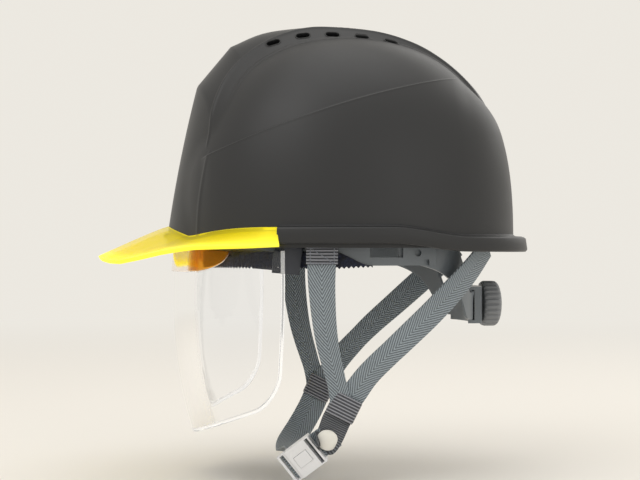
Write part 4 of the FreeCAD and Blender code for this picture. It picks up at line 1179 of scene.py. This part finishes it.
def lathe(name, centre, axis, outline, material, body, **options):
    """A round piece: outline holds (radius, height) pairs along the axis."""
    side = unit(np.cross(axis, (0.0, 0.3, 1.0)))
    other = np.cross(axis, side)
    columns = 64
    turn = np.linspace(0, 2 * math.pi, columns, endpoint=False)[:, None]
    rim = np.cos(turn) * side + np.sin(turn) * other
    points = [centre + axis * height + radius * rim for radius, height in outline]
    faces = grid_faces(len(outline), columns, wrap_columns=True)
    faces += [list(range(columns))[::-1], last_ring(len(outline), columns)]
    add_mesh(name, np.vstack(points), faces, material, body, **options)


def make_snap():
    """The snap's domed button on the tab and its ring behind."""
    out = buckle_axes()[1]
    outline = [(6.6, -0.9), (7.35, -0.7), (7.5, -0.1), (7.3, 0.5), (6.6, 1.0), (5.0, 1.5), (3.0, 1.8)]
    outline += [(1.2, 1.95), (0.2, 1.98)]
    lathe("snap_button", SNAP, out, outline, snap_white, "hat", replaces=("snap_cap",))
    outline = [(4.9, 0.9), (5.4, 0.4), (5.4, -0.9), (4.9, -1.3), (3.4, -1.4), (2.9, -1.0), (1.6, -0.9)]
    outline.append((0.2, -0.9))
    socket = inside("snap_socket", 0.5, 0.5, 0.5)
    lathe("snap_ring", socket, out, outline, white_plastic, "hat", replaces=("snap_socket",))


# ---- knob


def make_knob():
    """A ridged round knob with a shallow dome."""
    low, high = box_mm("ratchet_knob")
    centre = (low + high) / 2
    radius = (high[2] - low[2]) / 2
    columns = 288
    turn = np.linspace(0, 2 * math.pi, columns, endpoint=False)
    groove = (0.5 + 0.5 * np.cos(turn * 24)) ** 3
    face = high[1] - 15.5
    # Radius as a share, distance out from the knob's face, and how deep the grooves are there.
    outline = [
        (0.86, 0, 0), (0.93, 0.3, 0.3), (0.97, 1.2, 0.8), (1, 2.5, 1), (1, 9.0, 1), (0.985, 10.4, 0.9),
        (0.93, 11.7, 0.6), (0.84, 12.6, 0.25), (0.76, 13.1, 0), (0.7, 13.2, 0), (0.67, 12.6, 0),
        (0.62, 12.6, 0), (0.59, 13.4, 0), (0.4, 14.6, 0), (0.2, 15.3, 0), (0.02, 15.5, 0),
    ]
    rings = [(3.0, low[1], 0), (3.0, face, 0)]
    rings += [(share * radius, face + up, deep) for share, up, deep in outline]
    points = []
    for r, y, deep in rings:
        r = r - 1.3 * groove * deep
        points.append(np.stack([r * np.cos(turn), np.full(columns, y), centre[2] + r * np.sin(turn)], axis=1))
    faces = grid_faces(len(rings), columns, wrap_columns=True, flip=True)
    add_mesh("knob_ridged", np.vstack(points), faces, knob_grey, "knob", ("ratchet_knob",))


# ---- CAD nodes kept with better finishes

FINISHES = dict(
    peak_yellow=peak_yellow,
    black_plastic=black_plastic,
    grey_plastic=grey_plastic,
    band_grey=band_grey,
    knob_grey=knob_grey,
    white_plastic=white_plastic,
    liner_foam=liner_foam,
    steel=steel,
    webbing=webbing,
    sweat_fabric=sweat_fabric,
    shield_clear=shield_clear,
    grip_amber=grip_amber,
    shell_black=black_shell,
)
SOFTENED = dict(
    headband=0.35,
    ratchet_housing=0.7,
    ratchet_cover=0.5,
    suspension_keys=0.8,
    web_anchors=0.8,
    buckle_frame=0.7,
    buckle_tongue=0.6,
    buckle_release=0.35,
    shield_rail_left=0.3,
    shield_rail_right=0.3,
)


def dress_cad():
    """Gives every CAD node its finish, and rounds the hard edges of those that stay in view."""
    for name, item in frame["nodes"].items():
        smoky = name.startswith(("shield_rail", "shield_slider"))
        item.data.materials.clear()
        item.data.materials.append(slider_smoke if smoky else FINISHES[SLOTS[name]])
        if name in SOFTENED:
            soften(item, SOFTENED[name], 50)


# ---- stage


BACKGROUND = (0.84, 0.81, 0.75)
FLOOR = (0.8, 0.775, 0.735)
FADE_START = 0.35
FADE_END = 2.2


def make_stage():
    """A floor that fades into the background, the world and four soft lights."""
    below = float(start_bounds[0][2]) - 0.001
    bpy.ops.mesh.primitive_plane_add(size=60, location=(0, 0, below))
    floor = bpy.context.object
    floor.name = "floor"
    material, tree, shader = new_material("floor", FLOOR, 1.0)
    tint = blend_colors(tree, noise(tree, 2.0), tuple(0.99 * c for c in FLOOR), tuple(1.01 * c for c in FLOOR))
    tree.links.new(tint, shader.inputs["Base Color"])
    far = node(tree, "ShaderNodeVectorMath", operation="LENGTH")
    tree.links.new(position(tree), far.inputs[0])
    fade = node(tree, "ShaderNodeMapRange", interpolation_type="SMOOTHSTEP")
    fade.inputs["From Min"].default_value = FADE_START
    fade.inputs["From Max"].default_value = FADE_END
    tree.links.new(far.outputs["Value"], fade.inputs["Value"])
    glow = node(tree, "ShaderNodeEmission")
    glow.inputs["Color"].default_value = (*BACKGROUND, 1)
    mix = node(tree, "ShaderNodeMixShader")
    tree.links.new(fade.outputs["Result"], mix.inputs[0])
    tree.links.new(shader.outputs[0], mix.inputs[1])
    tree.links.new(glow.outputs[0], mix.inputs[2])
    tree.links.new(mix.outputs[0], tree.nodes["Material Output"].inputs["Surface"])
    floor.data.materials.append(material)
    world = bpy.data.worlds.new("studio")
    bpy.context.scene.world = world
    world.use_nodes = True
    world.node_tree.nodes["Background"].inputs[0].default_value = (*BACKGROUND, 1)
    bpy.context.scene.view_settings.view_transform = "Standard"
    lights = (
        ("key", (0.9, -0.9, 1.3), 1.1, 6),
        ("top", (0.1, 0.1, 1.6), 1.4, 6),
        ("back", (-1.0, 1.0, 0.9), 1.2, 3),
        ("side", (1.4, 0.9, 0.5), 1.0, 1.5),
    )
    for label, spot, extent, power in lights:
        data = bpy.data.lights.new(label, "AREA")
        data.size = extent
        data.energy = power
        lamp = bpy.data.objects.new(label, data)
        lamp.location = spot
        lamp.rotation_euler = (Vector((0, 0, 0)) - Vector(spot)).to_track_quat("-Z", "Y").to_euler()
        bpy.context.scene.collection.objects.link(lamp)


def make_camera():
    """A long lens at the height of the rim, from the wearer's left and a little to the front."""
    data = bpy.data.cameras.new("camera")
    data.lens = 85.6
    data.sensor_width = 36
    camera = bpy.data.objects.new("camera", data)
    target = Vector((0, -0.015, 0.0073))
    turn = math.radians(83)
    distance = 1.1
    camera.location = target + Vector((math.sin(turn), -math.cos(turn), 0)) * distance
    camera.rotation_euler = (target - camera.location).to_track_quat("-Z", "Y").to_euler()
    bpy.context.scene.collection.objects.link(camera)
    bpy.context.scene.camera = camera


dress_cad()
make_shell()
make_rim()
make_vent_sleeves()
make_peak()
make_lens()
make_grip()
make_sweatband()
make_sweat_flap()
make_nape_bands()
make_crown_pad()
make_crown_straps()
make_side_webs()
make_keepers()
make_chin_webs()
make_snap()
make_knob()
make_stage()
make_camera()
